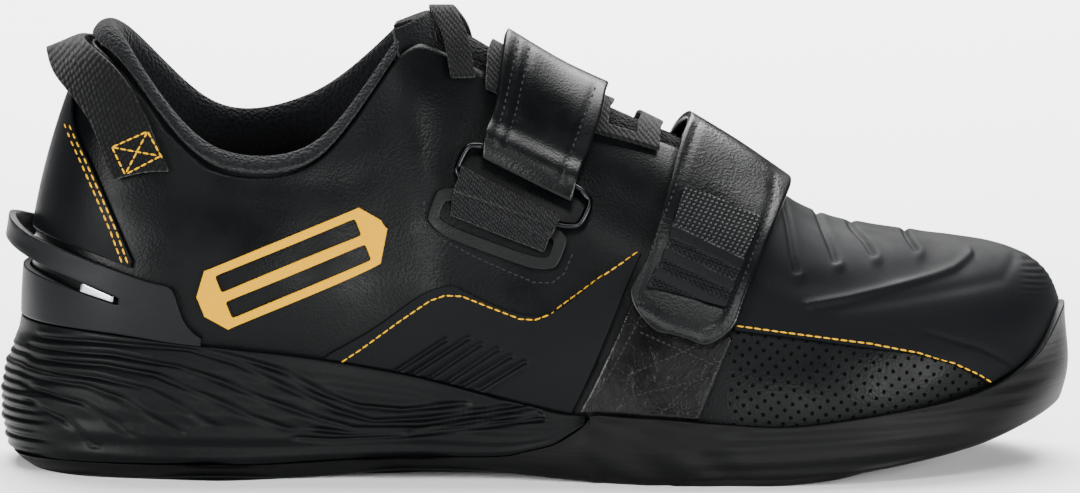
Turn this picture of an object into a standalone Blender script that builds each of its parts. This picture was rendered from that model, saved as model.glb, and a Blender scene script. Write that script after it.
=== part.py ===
"""Weightlifting shoe, right foot, empty and standing on its sole.

Metres, +X towards the toe, -Y towards the outer (lateral) side, +Z up. The origin is on the
flat tread under the heel. The upper, its overlays and straps, and the rim of the sole are all
worked out from one form: a row of cubic sections that stand on the outline of the sole and run
up to the collar or to the ridge over the instep and toes.
"""

import bisect
import math
from functools import lru_cache

import bmesh
import bpy
import numpy as np

# Overall sizes
LENGTH = 0.300
BALL_WIDTH = 0.106
COLLAR_HEIGHT = 0.124
HEEL_SEAT = 0.060

# Sole heights
HEEL_STACK = 0.033
FORE_STACK = 0.011
TOE_SPRING = 0.0125
ARCH_LIFT = 0.0022
RIM_HEIGHT = 0.008
TREAD_LAYER = 0.0043
TOE_CARRY = 0.72
RIB_DEPTH = 0.0009

# Walls and clearances
WALL = 0.0025
GAP = 0.0003
RIM_WALL = 0.0026
TONGUE_WALL = 0.0045
INSOLE_THICK = 0.004

LATERAL = -1
MEDIAL = 1
SIDES = (LATERAL, MEDIAL)


def table(columns, *rows):
    """A table of rows as one list for each named column."""
    return {name: [row[i] for row in rows] for i, name in enumerate(columns.split())}


# The sole's outline. Around runs from the middle of the heel (0) to the tip of the toe (1);
# along is a share of the length; lateral, medial, inset and corner are shares of the ball width.
# Inset is how far the upper's foot stands inside the outline, corner how far the tread does.
OUTLINE = table(
    "around along lateral medial inset corner",
    (0.00, 0.000, 0.000, 0.000, 0.080, 0.075),
    (0.04, 0.010, 0.155, 0.155, 0.076, 0.070),
    (0.09, 0.050, 0.290, 0.288, 0.066, 0.055),
    (0.15, 0.115, 0.362, 0.355, 0.056, 0.036),
    (0.24, 0.205, 0.380, 0.368, 0.050, 0.030),
    (0.34, 0.305, 0.368, 0.340, 0.048, 0.028),
    (0.45, 0.415, 0.372, 0.318, 0.046, 0.026),
    (0.55, 0.520, 0.420, 0.348, 0.044, 0.026),
    (0.64, 0.610, 0.472, 0.410, 0.042, 0.028),
    (0.72, 0.695, 0.494, 0.465, 0.042, 0.030),
    (0.80, 0.785, 0.470, 0.492, 0.042, 0.034),
    (0.87, 0.870, 0.388, 0.466, 0.044, 0.048),
    (0.93, 0.940, 0.258, 0.378, 0.048, 0.066),
    (0.97, 0.982, 0.105, 0.245, 0.052, 0.080),
    (1.00, 1.000, -0.070, 0.070, 0.056, 0.086),
)

# Heights of the sole along its length. Lift is the share of the heel's extra stack, spring of
# the toe spring, arch of the arch's lift, rim of the rim's height over the footbed, and sweep
# how far the tread layer has climbed from the ground to the rim.
PROFILE = table(
    "along lift spring arch rim sweep",
    (0.000, 1.000, 0.00, 0.00, 1.12, 0.00),
    (0.100, 0.960, 0.00, 0.00, 1.02, 0.00),
    (0.187, 0.886, 0.00, 0.00, 0.84, 0.00),
    (0.250, 0.800, 0.00, 0.00, 0.86, 0.00),
    (0.300, 0.700, 0.00, 0.35, 0.88, 0.00),
    (0.392, 0.477, 0.00, 0.95, 0.86, 0.00),
    (0.440, 0.330, 0.00, 1.00, 0.81, 0.00),
    (0.467, 0.250, 0.00, 0.95, 0.78, 0.03),
    (0.486, 0.200, 0.00, 0.80, 0.76, 0.13),
    (0.505, 0.150, 0.00, 0.60, 0.75, 0.27),
    (0.523, 0.105, 0.00, 0.40, 0.74, 0.46),
    (0.545, 0.060, 0.00, 0.22, 0.80, 0.84),
    (0.549, 0.054, 0.00, 0.18, 0.82, 1.00),
    (0.560, 0.040, 0.00, 0.10, 0.90, 1.00),
    (0.590, 0.000, 0.00, 0.00, 0.96, 1.00),
    (0.654, 0.000, 0.00, 0.00, 0.83, 1.00),
    (0.725, 0.000, 0.00, 0.00, 0.69, 1.00),
    (0.800, 0.000, 0.22, 0.00, 0.69, 1.00),
    (0.850, 0.000, 0.38, 0.00, 0.74, 1.00),
    (0.915, 0.000, 0.62, 0.00, 0.92, 1.00),
    (0.945, 0.000, 0.76, 0.00, 1.25, 1.00),
    (0.970, 0.000, 0.88, 0.00, 1.75, 1.00),
    (0.990, 0.000, 0.96, 0.00, 2.60, 1.00),
    (1.000, 0.000, 1.00, 0.00, 2.95, 1.00),
)

# The side wall of the sole from its tread edge (-1) through the outline (0) to the rim's outer
# edge (1), at shares of the wall's height.
WALL_SHAPE = table(
    "height reach",
    (0.00, -1.00),
    (0.07, -0.50),
    (0.16, -0.20),
    (0.30, -0.03),
    (0.42, 0.00),
    (0.56, 0.04),
    (0.68, 0.30),
    (0.80, 0.68),
    (0.90, 0.90),
    (1.00, 1.00),
)

# The form's top line: the collar's rim up to 0.41 around, then the ridge. Top_along is a share
# of the length, lateral and medial of the ball width, and the two heights of the collar height.
TOP_LINE = table(
    "around top_along lateral medial lateral_height medial_height pitch",
    (0.00, 0.095, 0.000, 0.000, 0.992, 0.992, 0),
    (0.04, 0.099, 0.085, 0.085, 0.988, 0.988, 0),
    (0.09, 0.118, 0.165, 0.165, 0.955, 0.957, 0),
    (0.15, 0.155, 0.220, 0.215, 0.840, 0.872, 0),
    (0.19, 0.188, 0.255, 0.245, 0.745, 0.788, 0),
    (0.24, 0.232, 0.278, 0.268, 0.706, 0.764, 0),
    (0.29, 0.272, 0.282, 0.268, 0.712, 0.784, 0),
    (0.34, 0.310, 0.262, 0.245, 0.758, 0.828, 0),
    (0.38, 0.345, 0.212, 0.200, 0.865, 0.900, 0),
    (0.41, 0.376, 0.160, 0.150, 0.968, 0.972, 0),
    (0.43, 0.394, 0.070, 0.070, 0.996, 0.996, 15),
    (0.45, 0.413, -0.006, 0.006, 0.998, 0.998, 23),
    (0.50, 0.464, -0.018, 0.018, 0.934, 0.934, 25),
    (0.55, 0.517, -0.028, 0.028, 0.862, 0.862, 26),
    (0.64, 0.603, -0.038, 0.038, 0.770, 0.770, 26),
    (0.72, 0.682, -0.048, 0.048, 0.664, 0.664, 28),
    (0.77, 0.728, -0.057, 0.057, 0.590, 0.590, 26),
    (0.80, 0.758, -0.062, 0.062, 0.546, 0.546, 18),
    (0.87, 0.815, -0.078, 0.078, 0.513, 0.513, 9),
    (0.93, 0.855, -0.088, 0.088, 0.499, 0.499, 7),
    (0.97, 0.878, -0.092, 0.092, 0.493, 0.493, 7),
    (1.00, 0.893, -0.094, 0.094, 0.489, 0.489, 7),
)

# The handles of each cubic section. Swell and crown reach outwards from the foot and the top,
# as shares of the ball width; rise and drop are shares of the collar height.
HANDLES = table(
    "around swell rise crown drop",
    (0.00, 0.020, 0.220, 0.130, 0.235),
    (0.04, 0.022, 0.215, 0.120, 0.230),
    (0.09, 0.030, 0.195, 0.100, 0.225),
    (0.15, 0.040, 0.175, 0.085, 0.205),
    (0.24, 0.045, 0.160, 0.050, 0.160),
    (0.34, 0.045, 0.180, 0.058, 0.175),
    (0.41, 0.040, 0.220, 0.100, 0.150),
    (0.43, 0.038, 0.230, 0.180, 0.040),
    (0.45, 0.036, 0.235, 0.225, 0.000),
    (0.55, 0.028, 0.245, 0.245, 0.000),
    (0.64, 0.028, 0.225, 0.280, 0.000),
    (0.72, 0.036, 0.205, 0.310, 0.000),
    (0.80, 0.045, 0.205, 0.330, 0.000),
    (0.87, 0.055, 0.215, 0.320, 0.000),
    (0.93, 0.062, 0.230, 0.280, 0.000),
    (1.00, 0.068, 0.245, 0.240, 0.000),
)

# Where the upper's leather ends, as a share of the way up each section: under the collar's
# roll, along the two sides of the throat, and closed over the vamp from THROAT_END on.
LEATHER_EDGE = table(
    "around share",
    (0.00, 0.945),
    (0.24, 0.930),
    (0.38, 0.940),
    (0.41, 0.935),
    (0.43, 0.870),
    (0.45, 0.800),
    (0.55, 0.805),
    (0.64, 0.845),
    (0.69, 0.895),
    (0.705, 0.940),
)

# The places around the outline where the pieces have a section.
STATIONS = (
    0.0, 0.027, 0.055, 0.085, 0.12, 0.16, 0.20, 0.245, 0.29, 0.335, 0.375, 0.405, 0.43, 0.455,
    0.50, 0.55, 0.60, 0.65, 0.69, 0.712, 0.745, 0.78, 0.815, 0.85, 0.885, 0.915, 0.94, 0.962,
    0.982, 1.0,
)
COLLAR_END = 0.405
THROAT_END = 0.712
MIDSOLE_END = 0.545
FLAP_WALL = 0.0012
SWEEP_SHARES = (0.467, 0.486, 0.505, 0.523)
OUTSOLE_LEVELS = (0.0, 0.14, 0.4, 0.65, 0.85, 1.0)
NEST_STEPS = (1.0, 0.67, 0.33, 0.0)
SOLE_ACROSS = 4

# The wave ribs of the heel wedge, up its side, as shares of its height and of RIB_DEPTH.
MIDSOLE_RIBS = table(
    "height rib",
    (0.00, 0.0),
    (0.07, 1.0),
    (0.15, -0.6),
    (0.24, 1.0),
    (0.33, -0.6),
    (0.43, 1.0),
    (0.53, -0.6),
    (0.63, 1.0),
    (0.72, -0.6),
    (0.81, 0.8),
    (0.89, -0.4),
    (1.00, 0.0),
)

# Faces up the upper's wall, and the insole's pieces round the foot and its clearance.
UPPER_UP = 11
INSOLE_STATIONS = 20
INSOLE_CLEAR = 0.001

# The tongue's rows: where it lies under the leather, and how far it goes beside the throat.
TONGUE_ROWS = table(
    "around share",
    (0.745, 0.900),
    (0.712, 0.840),
    (0.690, 0.790),
    (0.650, 0.745),
    (0.600, 0.715),
    (0.550, 0.700),
    (0.500, 0.700),
    (0.455, 0.700),
)
# Its free top: place along the ridge, height, half width, and how far the two sides of each
# row's arc drop and run back.
TONGUE_TIP = table(
    "along height half_width drop back",
    (0.4110, 0.994, 0.136, 0.165, 0.030),
    (0.4065, 1.007, 0.128, 0.100, 0.038),
    (0.4010, 1.020, 0.116, 0.042, 0.038),
)
TONGUE_PUFF = 0.0032
TONGUE_ARC = math.radians(80)
TONGUE_ACROSS = 6
TONGUE_CLEAR = 0.0016

# The collar roll's section, from the leather's edge over the top and down inside. Share runs up
# the form, off is the distance from it in shares of the roll's thickness, up a share of the same.
ROLL = table(
    "share off up",
    (0.960, 0.04, 0.00),
    (0.978, 0.14, 0.00),
    (1.000, 0.04, 0.04),
    (1.000, -0.35, 0.28),
    (0.995, -0.75, 0.10),
    (0.930, -1.05, 0.00),
    (0.820, -0.95, 0.00),
    (0.720, -0.62, 0.00),
    (0.722, -0.42, 0.00),
    (0.860, -0.40, 0.00),
    (0.952, -0.38, 0.00),
)
ROLL_THICK = 0.0075
ROLL_CLEAR = 0.0009
ROLL_FRONT = 0.6

# Overlays: their clearance over the upper, their thickness, and how far they stay over the rim.
SKIN_LIFT = 0.00045
SKIN = 0.0009
RIM_CLEAR = 0.0006
BACKSTAY_UP = 4
BACKSTAY_LOW = 0.385
BACKSTAY = table(
    "around share",
    (0.000, 0.920),
    (0.027, 0.830),
    (0.055, 0.715),
    (0.085, 0.645),
    (0.120, 0.540),
    (0.150, 0.415),
)
# The toe overlay's lower edge, from behind the forefoot strap to where it meets the rim.
TOE_EDGE = table(
    "around share",
    (0.712, 0.340),
    (0.745, 0.345),
    (0.780, 0.345),
    (0.815, 0.322),
    (0.850, 0.285),
    (0.885, 0.215),
    (0.915, 0.110),
    (0.940, 0.000),
    (1.000, 0.000),
)
# Side panels, one row for each line up the panel from its low end to its high end. A low share
# of 0 means that the panel starts at the sole's rim.
PANEL_UP = 4
SIDE_OVERLAY = {
    -1: table(
        "low low_share high high_share",
        (0.342, 0.0, 0.348, 0.135),
        (0.370, 0.0, 0.378, 0.195),
        (0.400, 0.0, 0.408, 0.245),
        (0.425, 0.0, 0.435, 0.270),
        (0.452, 0.0, 0.460, 0.287),
        (0.480, 0.0, 0.490, 0.273),
        (0.510, 0.0, 0.525, 0.267),
        (0.535, 0.0, 0.555, 0.300),
        (0.550, 0.0, 0.590, 0.380),
        (0.561, 0.0, 0.634, 0.475),
    ),
    1: table(
        "low low_share high high_share",
        (0.342, 0.0, 0.348, 0.135),
        (0.370, 0.0, 0.378, 0.195),
        (0.400, 0.0, 0.408, 0.245),
        (0.425, 0.0, 0.435, 0.270),
        (0.452, 0.0, 0.460, 0.287),
        (0.480, 0.0, 0.490, 0.273),
        (0.510, 0.0, 0.525, 0.267),
        (0.535, 0.0, 0.555, 0.300),
        (0.552, 0.0, 0.574, 0.330),
    ),
}
LOOP_PANEL = {
    -1: table(
        "low low_share high high_share",
        (0.569, 0.0, 0.624, 0.355),
        (0.595, 0.0, 0.648, 0.375),
        (0.622, 0.0, 0.670, 0.375),
        (0.650, 0.0, 0.693, 0.365),
        (0.676, 0.0, 0.708, 0.315),
    ),
    1: table(
        "low low_share high high_share",
        (0.478, 0.310, 0.490, 0.480),
        (0.502, 0.310, 0.515, 0.490),
        (0.526, 0.320, 0.540, 0.500),
        (0.550, 0.345, 0.566, 0.510),
        (0.572, 0.385, 0.590, 0.515),
    ),
}
# The moulded heel clip. Low is at the sole's rim; slot_low and slot_high bound the slot round
# its back, and high is its top edge, all as shares of the collar height. Flare is how far the
# band over the slot stands away from the heel, in metres.
CLIP_WALL = 0.002
CLIP_SLOT_END = 0.146
CLIP = table(
    "around slot_low slot_high high flare",
    (0.000, 0.449, 0.508, 0.553, 0.0058),
    (0.027, 0.448, 0.500, 0.545, 0.0054),
    (0.055, 0.443, 0.482, 0.527, 0.0042),
    (0.085, 0.430, 0.459, 0.506, 0.0022),
    (0.120, 0.407, 0.430, 0.480, 0.0006),
    (0.146, 0.390, 0.406, 0.460, 0.0002),
    (0.164, 0.377, 0.391, 0.446, 0.0000),
    (0.180, 0.366, 0.378, 0.436, 0.0000),
    (0.192, 0.352, 0.368, 0.424, 0.0000),
    (0.203, 0.335, 0.348, 0.374, 0.0000),
    (0.215, 0.319, 0.326, 0.338, 0.0000),
    (0.226, 0.311, 0.314, 0.320, 0.0000),
)
INSERT_FRONT = 0.005
INSERT_SLOPE = 0.012
INSERT_LONG = 0.030
INSERT_CLEAR = 0.00035
# Straps and bands, a row for each line across: where the back and the front edge lie, and how
# far the underside stands off the form. Reach runs from the lateral foot (0) over the ridge (1)
# to the medial foot (2).
STRAP_THICK = 0.0022
STRAP_ROWS = 18
STRAP_ACROSS = 4
ANKLE_STRAP = table(
    "run back back_reach back_lift front front_reach front_lift",
    (0.000, 0.489, 0.558, 0.0034, 0.570, 0.535, 0.0034),
    (0.055, 0.490, 0.606, 0.0046, 0.576, 0.590, 0.0046),
    (0.130, 0.498, 0.665, 0.0020, 0.584, 0.655, 0.0020),
    (0.22, 0.503, 0.735, 0.0020, 0.592, 0.730, 0.0020),
    (0.33, 0.504, 0.850, 0.0028, 0.598, 0.850, 0.0026),
    (0.45, 0.501, 1.000, 0.0042, 0.596, 1.000, 0.0032),
    (0.57, 0.504, 1.150, 0.0028, 0.598, 1.150, 0.0026),
    (0.68, 0.503, 1.270, 0.0020, 0.594, 1.270, 0.0020),
    (0.80, 0.498, 1.420, 0.0018, 0.588, 1.410, 0.0018),
    (0.92, 0.492, 1.550, 0.0018, 0.580, 1.530, 0.0018),
    (0.97, 0.498, 1.605, 0.0018, 0.571, 1.585, 0.0018),
    (1.00, 0.512, 1.625, 0.0018, 0.554, 1.615, 0.0018),
)
FOREFOOT_STRAP = table(
    "run back back_reach back_lift front front_reach front_lift",
    (0.00, 0.642, 0.300, 0.0018, 0.688, 0.285, 0.0018),
    (0.03, 0.629, 0.325, 0.0018, 0.702, 0.308, 0.0018),
    (0.08, 0.624, 0.370, 0.0018, 0.712, 0.360, 0.0018),
    (0.20, 0.642, 0.470, 0.0018, 0.725, 0.465, 0.0018),
    (0.32, 0.654, 0.580, 0.0018, 0.738, 0.580, 0.0018),
    (0.44, 0.667, 0.760, 0.0022, 0.755, 0.760, 0.0022),
    (0.58, 0.672, 1.000, 0.0056, 0.768, 1.000, 0.0046),
    (0.720, 0.666, 1.240, 0.0022, 0.753, 1.240, 0.0022),
    (0.850, 0.650, 1.355, 0.0020, 0.735, 1.355, 0.0020),
    (0.944, 0.640, 1.432, 0.0046, 0.722, 1.432, 0.0046),
    (1.000, 0.634, 1.485, 0.0034, 0.714, 1.485, 0.0034),
)
GRIP_THICK = 0.0007
GRIP_ROWS = {"ankle_grip": (13, 16), "forefoot_grip": (2, 7)}
GRIP_ACROSS = (0.14, 0.5, 0.86)
WEBBING_THICK = 0.0013
WEBBING_ROWS = 7
WEBBING = {
    -1: table(
        "run back back_reach back_lift front front_reach front_lift",
        (0.00, 0.470, 0.524, 0.0036, 0.558, 0.496, 0.0036),
        (0.29, 0.466, 0.488, 0.0046, 0.554, 0.466, 0.0046),
        (0.60, 0.461, 0.455, 0.0022, 0.547, 0.439, 0.0022),
        (1.00, 0.460, 0.425, 0.0005, 0.542, 0.413, 0.0005),
    ),
    1: table(
        "run back back_reach back_lift front front_reach front_lift",
        (0.00, 0.630, 1.540, 0.0036, 0.707, 1.540, 0.0036),
        (0.29, 0.627, 1.585, 0.0046, 0.703, 1.585, 0.0046),
        (0.60, 0.622, 1.628, 0.0022, 0.694, 1.626, 0.0022),
        (1.00, 0.620, 1.658, 0.0005, 0.686, 1.655, 0.0005),
    ),
}
# The metal ring between each strap and its webbing, and the stitched frame of the slot that the
# webbing goes into: place of the centre, tilt, and half sizes.
PLANE_STEPS = 5
RING_WIRE = 0.001
RING_LIFT = 0.0029
RING_AROUND = 18
RING_SIDES = 5
RING_SQUARE = 4.0
RING_LONG = 0.0190
RING_SHORT = 0.0060
FRAME_AROUND = 20
FRAME_LONG = 0.0195
FRAME_SHORT = 0.0070
FRAME_BORDER = 0.0032
FRAME_THICK = 0.0011
FITTINGS = table(
    "side ring_around ring_share ring_tilt frame_around frame_share frame_tilt",
    (-1, 0.526, 0.535, -3.0, 0.501, 0.428, -3.0),
    (1, 0.672, 0.490, 0.0, 0.648, 0.345, 0.0),
)
# The pull loop's webbing, from its sewn lateral end to the middle of the heel.
PULL_THICK = 0.0018
PULL_ROWS = 16
PULL_ACROSS = 2
PULL_LOOP = table(
    "run back back_reach back_lift front front_reach front_lift",
    (0.00, 0.120, 0.635, 0.0020, 0.166, 0.800, 0.0005),
    (0.20, 0.104, 0.690, 0.0020, 0.150, 0.850, 0.0006),
    (0.40, 0.085, 0.750, 0.0026, 0.130, 0.895, 0.0012),
    (0.70, 0.048, 0.815, 0.0058, 0.080, 0.935, 0.0022),
    (1.00, 0.000, 0.878, 0.0095, 0.000, 0.945, 0.0024),
)
# The lace: its bars between the two rows of eyelets, and the tie at the top of the tongue.
LACE_WIDTH = 0.019
LACE_THICK = 0.0012
LACE_LIFT = 0.00045
LACE_EDGE = (0.055, 0.015)
LACE_BARS = (0.494, 0.541, 0.588, 0.635, 0.680)
LACE_ACROSS = 6
TIE_EYELET = (0.472, 0.735)
TIE_SIDE = (0.462, 0.860, 0.0020)
TIE_ALONG = 0.412
TIE_RISE = 0.0030
TIE_WIDTH = 0.0066
TIE_ROWS = 12
# The raised motif on the lateral quarter, lengths along and across it.
BADGE_PLACE = (0.306, 0.500, 16.0)
BADGE_THICK = 0.0008
BADGE_LIFT = 0.0004
BADGE_LONG = (-0.0275, -0.023, -0.0205, -0.007, 0.007, 0.0205, 0.023, 0.0275)
BADGE_TALL = (-0.0085, -0.0062, -0.0014, 0.0014, 0.0062, 0.0085)
BADGE_POINT = 0.35


def along_x(share):
    return share * LENGTH - HEEL_SEAT


def hermite(knots, values, slopes, at):
    i = min(max(bisect.bisect_right(knots, at) - 1, 0), len(knots) - 2)
    step = knots[i + 1] - knots[i]
    t = min(max((at - knots[i]) / step, 0.0), 1.0)
    return (
        (1 + 2 * t) * (1 - t) ** 2 * values[i]
        + t * (1 - t) ** 2 * step * slopes[i]
        + t * t * (3 - 2 * t) * values[i + 1]
        + t * t * (t - 1) * step * slopes[i + 1]
    )


def even_curve(knots, values):
    """A curve through the values that never swings past them."""
    rates = [(values[i + 1] - values[i]) / (knots[i + 1] - knots[i]) for i in range(len(knots) - 1)]
    slopes = [rates[0]]
    for before, after in zip(rates, rates[1:]):
        slopes.append(2 * before * after / (before + after) if before * after > 0 else 0.0)
    slopes.append(rates[-1])
    return lambda at: hermite(knots, values, slopes, at)


def round_curve(knots, values, period):
    """A closed curve through the values with even curvature."""
    count = len(knots)
    steps = [(knots[(i + 1) % count] - knots[i]) % period for i in range(count)]
    rises = [values[(i + 1) % count] - values[i] for i in range(count)]
    matrix = np.zeros((count, count))
    right = np.zeros(count)
    for i in range(count):
        before, after = steps[i - 1], steps[i]
        matrix[i, i - 1] += 1 / before
        matrix[i, i] += 2 / before + 2 / after
        matrix[i, (i + 1) % count] += 1 / after
        right[i] = 3 * (rises[i - 1] / before**2 + rises[i] / after**2)
    slopes = list(np.linalg.solve(matrix, right))
    closed_knots = knots + [knots[0] + period]
    closed_values = values + [values[0]]
    closed_slopes = slopes + [slopes[0]]
    return lambda at: hermite(closed_knots, closed_values, closed_slopes, at % period)


def ring_of(source, lateral, medial, flip=1):
    """Knots and values once round the shoe: up the lateral side to the toe and back."""
    knots = source["around"] + [2 - at for at in source["around"][-2:0:-1]]
    values = [flip * value for value in source[lateral]] + source[medial][-2:0:-1]
    return knots, values


def round_ring(source, lateral, medial, flip=1):
    return round_curve(*ring_of(source, lateral, medial, flip), 2.0)


def even_ring(source, lateral, medial, flip=1):
    knots, values = ring_of(source, lateral, medial, flip)
    wrapped_knots = [knots[-2] - 2, knots[-1] - 2] + knots + [knots[0] + 2, knots[1] + 2]
    wrapped_values = values[-2:] + values + values[:2]
    curve = even_curve(wrapped_knots, wrapped_values)
    return lambda at: curve(at % 2.0)


outline_along = round_ring(OUTLINE, "along", "along")
outline_across = round_ring(OUTLINE, "lateral", "medial", flip=-1)
outline_inset = even_ring(OUTLINE, "inset", "inset")
outline_corner = even_ring(OUTLINE, "corner", "corner")
top_along = even_ring(TOP_LINE, "top_along", "top_along")
top_across = even_ring(TOP_LINE, "lateral", "medial", flip=-1)
top_height = even_ring(TOP_LINE, "lateral_height", "medial_height")
top_pitch = even_ring(TOP_LINE, "pitch", "pitch")
handle = {name: even_ring(HANDLES, name, name) for name in ("swell", "rise", "crown", "drop")}
profile = {name: even_curve(PROFILE["along"], PROFILE[name]) for name in PROFILE if name != "along"}
wall_reach = even_curve(WALL_SHAPE["height"], WALL_SHAPE["reach"])
leather_share = even_curve(LEATHER_EDGE["around"], LEATHER_EDGE["share"])


def ring_place(around, side):
    return around if side == LATERAL else (2 - around) % 2


def share_of(x):
    return min(max((x + HEEL_SEAT) / LENGTH, 0.0), 1.0)


def ground_z(x):
    share = share_of(x)
    return TOE_SPRING * profile["spring"](share) + ARCH_LIFT * profile["arch"](share)


def footbed_z(x):
    share = share_of(x)
    lift = (HEEL_STACK - FORE_STACK) * profile["lift"](share)
    return FORE_STACK + lift + TOE_CARRY * TOE_SPRING * profile["spring"](share)


def rim_z(x):
    return footbed_z(x) + RIM_HEIGHT * profile["rim"](share_of(x))


def tread_top_z(x):
    low = ground_z(x) + TREAD_LAYER
    return low + profile["sweep"](share_of(x)) * (rim_z(x) - low)


@lru_cache(maxsize=None)
def outline_frame(place):
    """A point of the sole's outline and its outward direction in plan."""
    step = 1e-4
    ahead = np.array([outline_along(place + step) * LENGTH, outline_across(place + step) * BALL_WIDTH])
    behind = np.array([outline_along(place - step) * LENGTH, outline_across(place - step) * BALL_WIDTH])
    tangent = (ahead - behind) / np.linalg.norm(ahead - behind)
    point = np.array([along_x(outline_along(place)), outline_across(place) * BALL_WIDTH, 0.0])
    return point, np.array([tangent[1], -tangent[0], 0.0])


@lru_cache(maxsize=None)
def section(around, side):
    """The four control points of one section of the form, foot to top."""
    place = ring_place(around, side)
    edge, out = outline_frame(place)
    foot = edge - out * outline_inset(place) * BALL_WIDTH
    foot[2] = footbed_z(edge[0]) + GAP
    top = np.array([
        along_x(top_along(place)),
        top_across(place) * BALL_WIDTH,
        top_height(place) * COLLAR_HEIGHT,
    ])
    pitch = math.radians(top_pitch(place))
    spread = np.array([out[0] * math.cos(pitch), out[1], -out[0] * math.sin(pitch)])
    low = foot + out * handle["swell"](place) * BALL_WIDTH
    low[2] += handle["rise"](place) * COLLAR_HEIGHT
    high = top + spread * handle["crown"](place) * BALL_WIDTH
    high[2] -= handle["drop"](place) * COLLAR_HEIGHT
    return foot, low, high, top


def form(around, side, share):
    """A point of the form: around 0 at the heel, 1 at the toe; share 0 at the foot, 1 at the top."""
    foot, low, high, top = section(round(around, 7), side)
    back = 1 - share
    return back**3 * foot + 3 * back * back * share * low + 3 * back * share * share * high + share**3 * top


@lru_cache(maxsize=None)
def form_normal(around, side, share):
    step = 1e-3
    ahead = min(around + step, 1.0)
    behind = max(around - step, 0.0)
    if around - step < 0:
        run = form(step, LATERAL, share) - form(step, MEDIAL, share)
        run = run if side == LATERAL else -run
    elif around + step > 1:
        low = min(share, 1 - 20 * step)
        run = form(1 - step, MEDIAL, low) - form(1 - step, LATERAL, low)
        run = run if side == LATERAL else -run
    else:
        run = form(ahead, side, share) - form(behind, side, share)
    rise = form(around, side, min(share + step, 1.0)) - form(around, side, max(share - step, 0.0))
    normal = np.cross(run, rise) * (1 if side == LATERAL else -1)
    return normal / np.linalg.norm(normal)


def off_form(around, side, share, lift):
    """A point that stands the given distance outside the form."""
    around, share = round(around, 7), round(share, 7)
    return form(around, side, share) + lift * form_normal(around, side, share)


def share_at_height(around, side, height):
    """How far up a section reaches the given height."""
    low, high = 0.0, 1.0
    for _ in range(24):
        middle = (low + high) / 2
        if form(around, side, middle)[2] < height:
            low = middle
        else:
            high = middle
    return (low + high) / 2


def around_at(share):
    """The place around the outline that lies this share of the length from the heel."""
    low, high = 0.0, 1.0
    for _ in range(30):
        middle = (low + high) / 2
        if outline_along(middle) < share:
            low = middle
        else:
            high = middle
    return (low + high) / 2


def station_x(around):
    """Where the outline's place lies along the shoe: a section's heights are all read here."""
    return along_x(outline_along(around))


def ease(share):
    """A smooth step from 0 to 1."""
    held = min(max(share, 0.0), 1.0)
    return held * held * (3 - 2 * held)


def spaced(start, end, count):
    return [start + (end - start) * i / count for i in range(count + 1)]


def material(name, colour, roughness, metallic=0.0):
    made = bpy.data.materials.new(name)
    made.use_nodes = True
    shader = made.node_tree.nodes["Principled BSDF"]
    shader.inputs["Base Color"].default_value = (*colour, 1.0)
    shader.inputs["Roughness"].default_value = roughness
    shader.inputs["Metallic"].default_value = metallic
    return made


def add_solid(name, points, faces, finish):
    """One object from points and faces, with doubled points joined."""
    mesh = bpy.data.meshes.new(name)
    shape = bmesh.new()
    corners = [shape.verts.new(point) for point in points]
    for face in faces:
        loop = list(dict.fromkeys(face))
        if len(loop) > 2:
            shape.faces.new([corners[i] for i in loop])
    loose = [corner for corner in shape.verts if not corner.link_faces]
    bmesh.ops.delete(shape, geom=loose, context="VERTS")
    bmesh.ops.remove_doubles(shape, verts=shape.verts, dist=1e-6)
    bmesh.ops.recalc_face_normals(shape, faces=shape.faces)
    if shape.calc_volume(signed=True) < 0:
        bmesh.ops.reverse_faces(shape, faces=shape.faces)
    shape.to_mesh(mesh)
    shape.free()
    mesh.materials.append(finish)
    mesh.shade_smooth()
    mesh.set_sharp_from_angle(angle=math.radians(40))
    made = bpy.data.objects.new(name, mesh)
    bpy.context.scene.collection.objects.link(made)
    return made


class Sheet:
    """Outer points in a grid that may fold onto itself, to be given a wall and closed."""

    def __init__(self):
        self.points = []
        self.inner = []
        self.faces = []
        self.known = {}

    def point(self, outer, inner=None):
        key = tuple(int(round(c * 1e6)) for c in outer)
        if key not in self.known:
            self.known[key] = len(self.points)
            self.points.append(np.array(outer))
            self.inner.append(None if inner is None else np.array(inner))
        return self.known[key]

    def face(self, *corners):
        loop = []
        for corner in corners:
            if corner not in loop:
                loop.append(corner)
        if len(loop) > 2:
            self.faces.append(loop)

    def grid(self, rows, flip=False, skip=()):
        """Faces between rows of point numbers, except for the cells named in skip."""
        for i in range(len(rows) - 1):
            for j in range(len(rows[i]) - 1):
                if (i, j) in skip:
                    continue
                loop = (rows[i][j], rows[i + 1][j], rows[i + 1][j + 1], rows[i][j + 1])
                self.face(*(reversed(loop) if flip else loop))

    def normals(self):
        sums = np.zeros((len(self.points), 3))
        for loop in self.faces:
            corners = [self.points[i] for i in loop]
            area = np.zeros(3)
            for i in range(1, len(corners) - 1):
                area += np.cross(corners[i] - corners[0], corners[i + 1] - corners[0])
            for i in loop:
                sums[i] += area
        return sums / np.linalg.norm(sums, axis=1)[:, None]

    def solid(self, name, finish, wall=None):
        """Closes the sheet: its inner points as given, or a wall's thickness behind it."""
        count = len(self.points)
        inner = self.inner
        if wall is not None:
            inner = [p - wall * n for p, n in zip(self.points, self.normals())]
        faces = [list(loop) for loop in self.faces]
        faces += [[count + i for i in reversed(loop)] for loop in self.faces]
        edges = {(loop[i - 1], loop[i]) for loop in self.faces for i in range(len(loop))}
        faces += [[b, a, a + count, b + count] for a, b in edges if (b, a) not in edges]
        return add_solid(name, self.points + inner, faces, finish)


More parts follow.
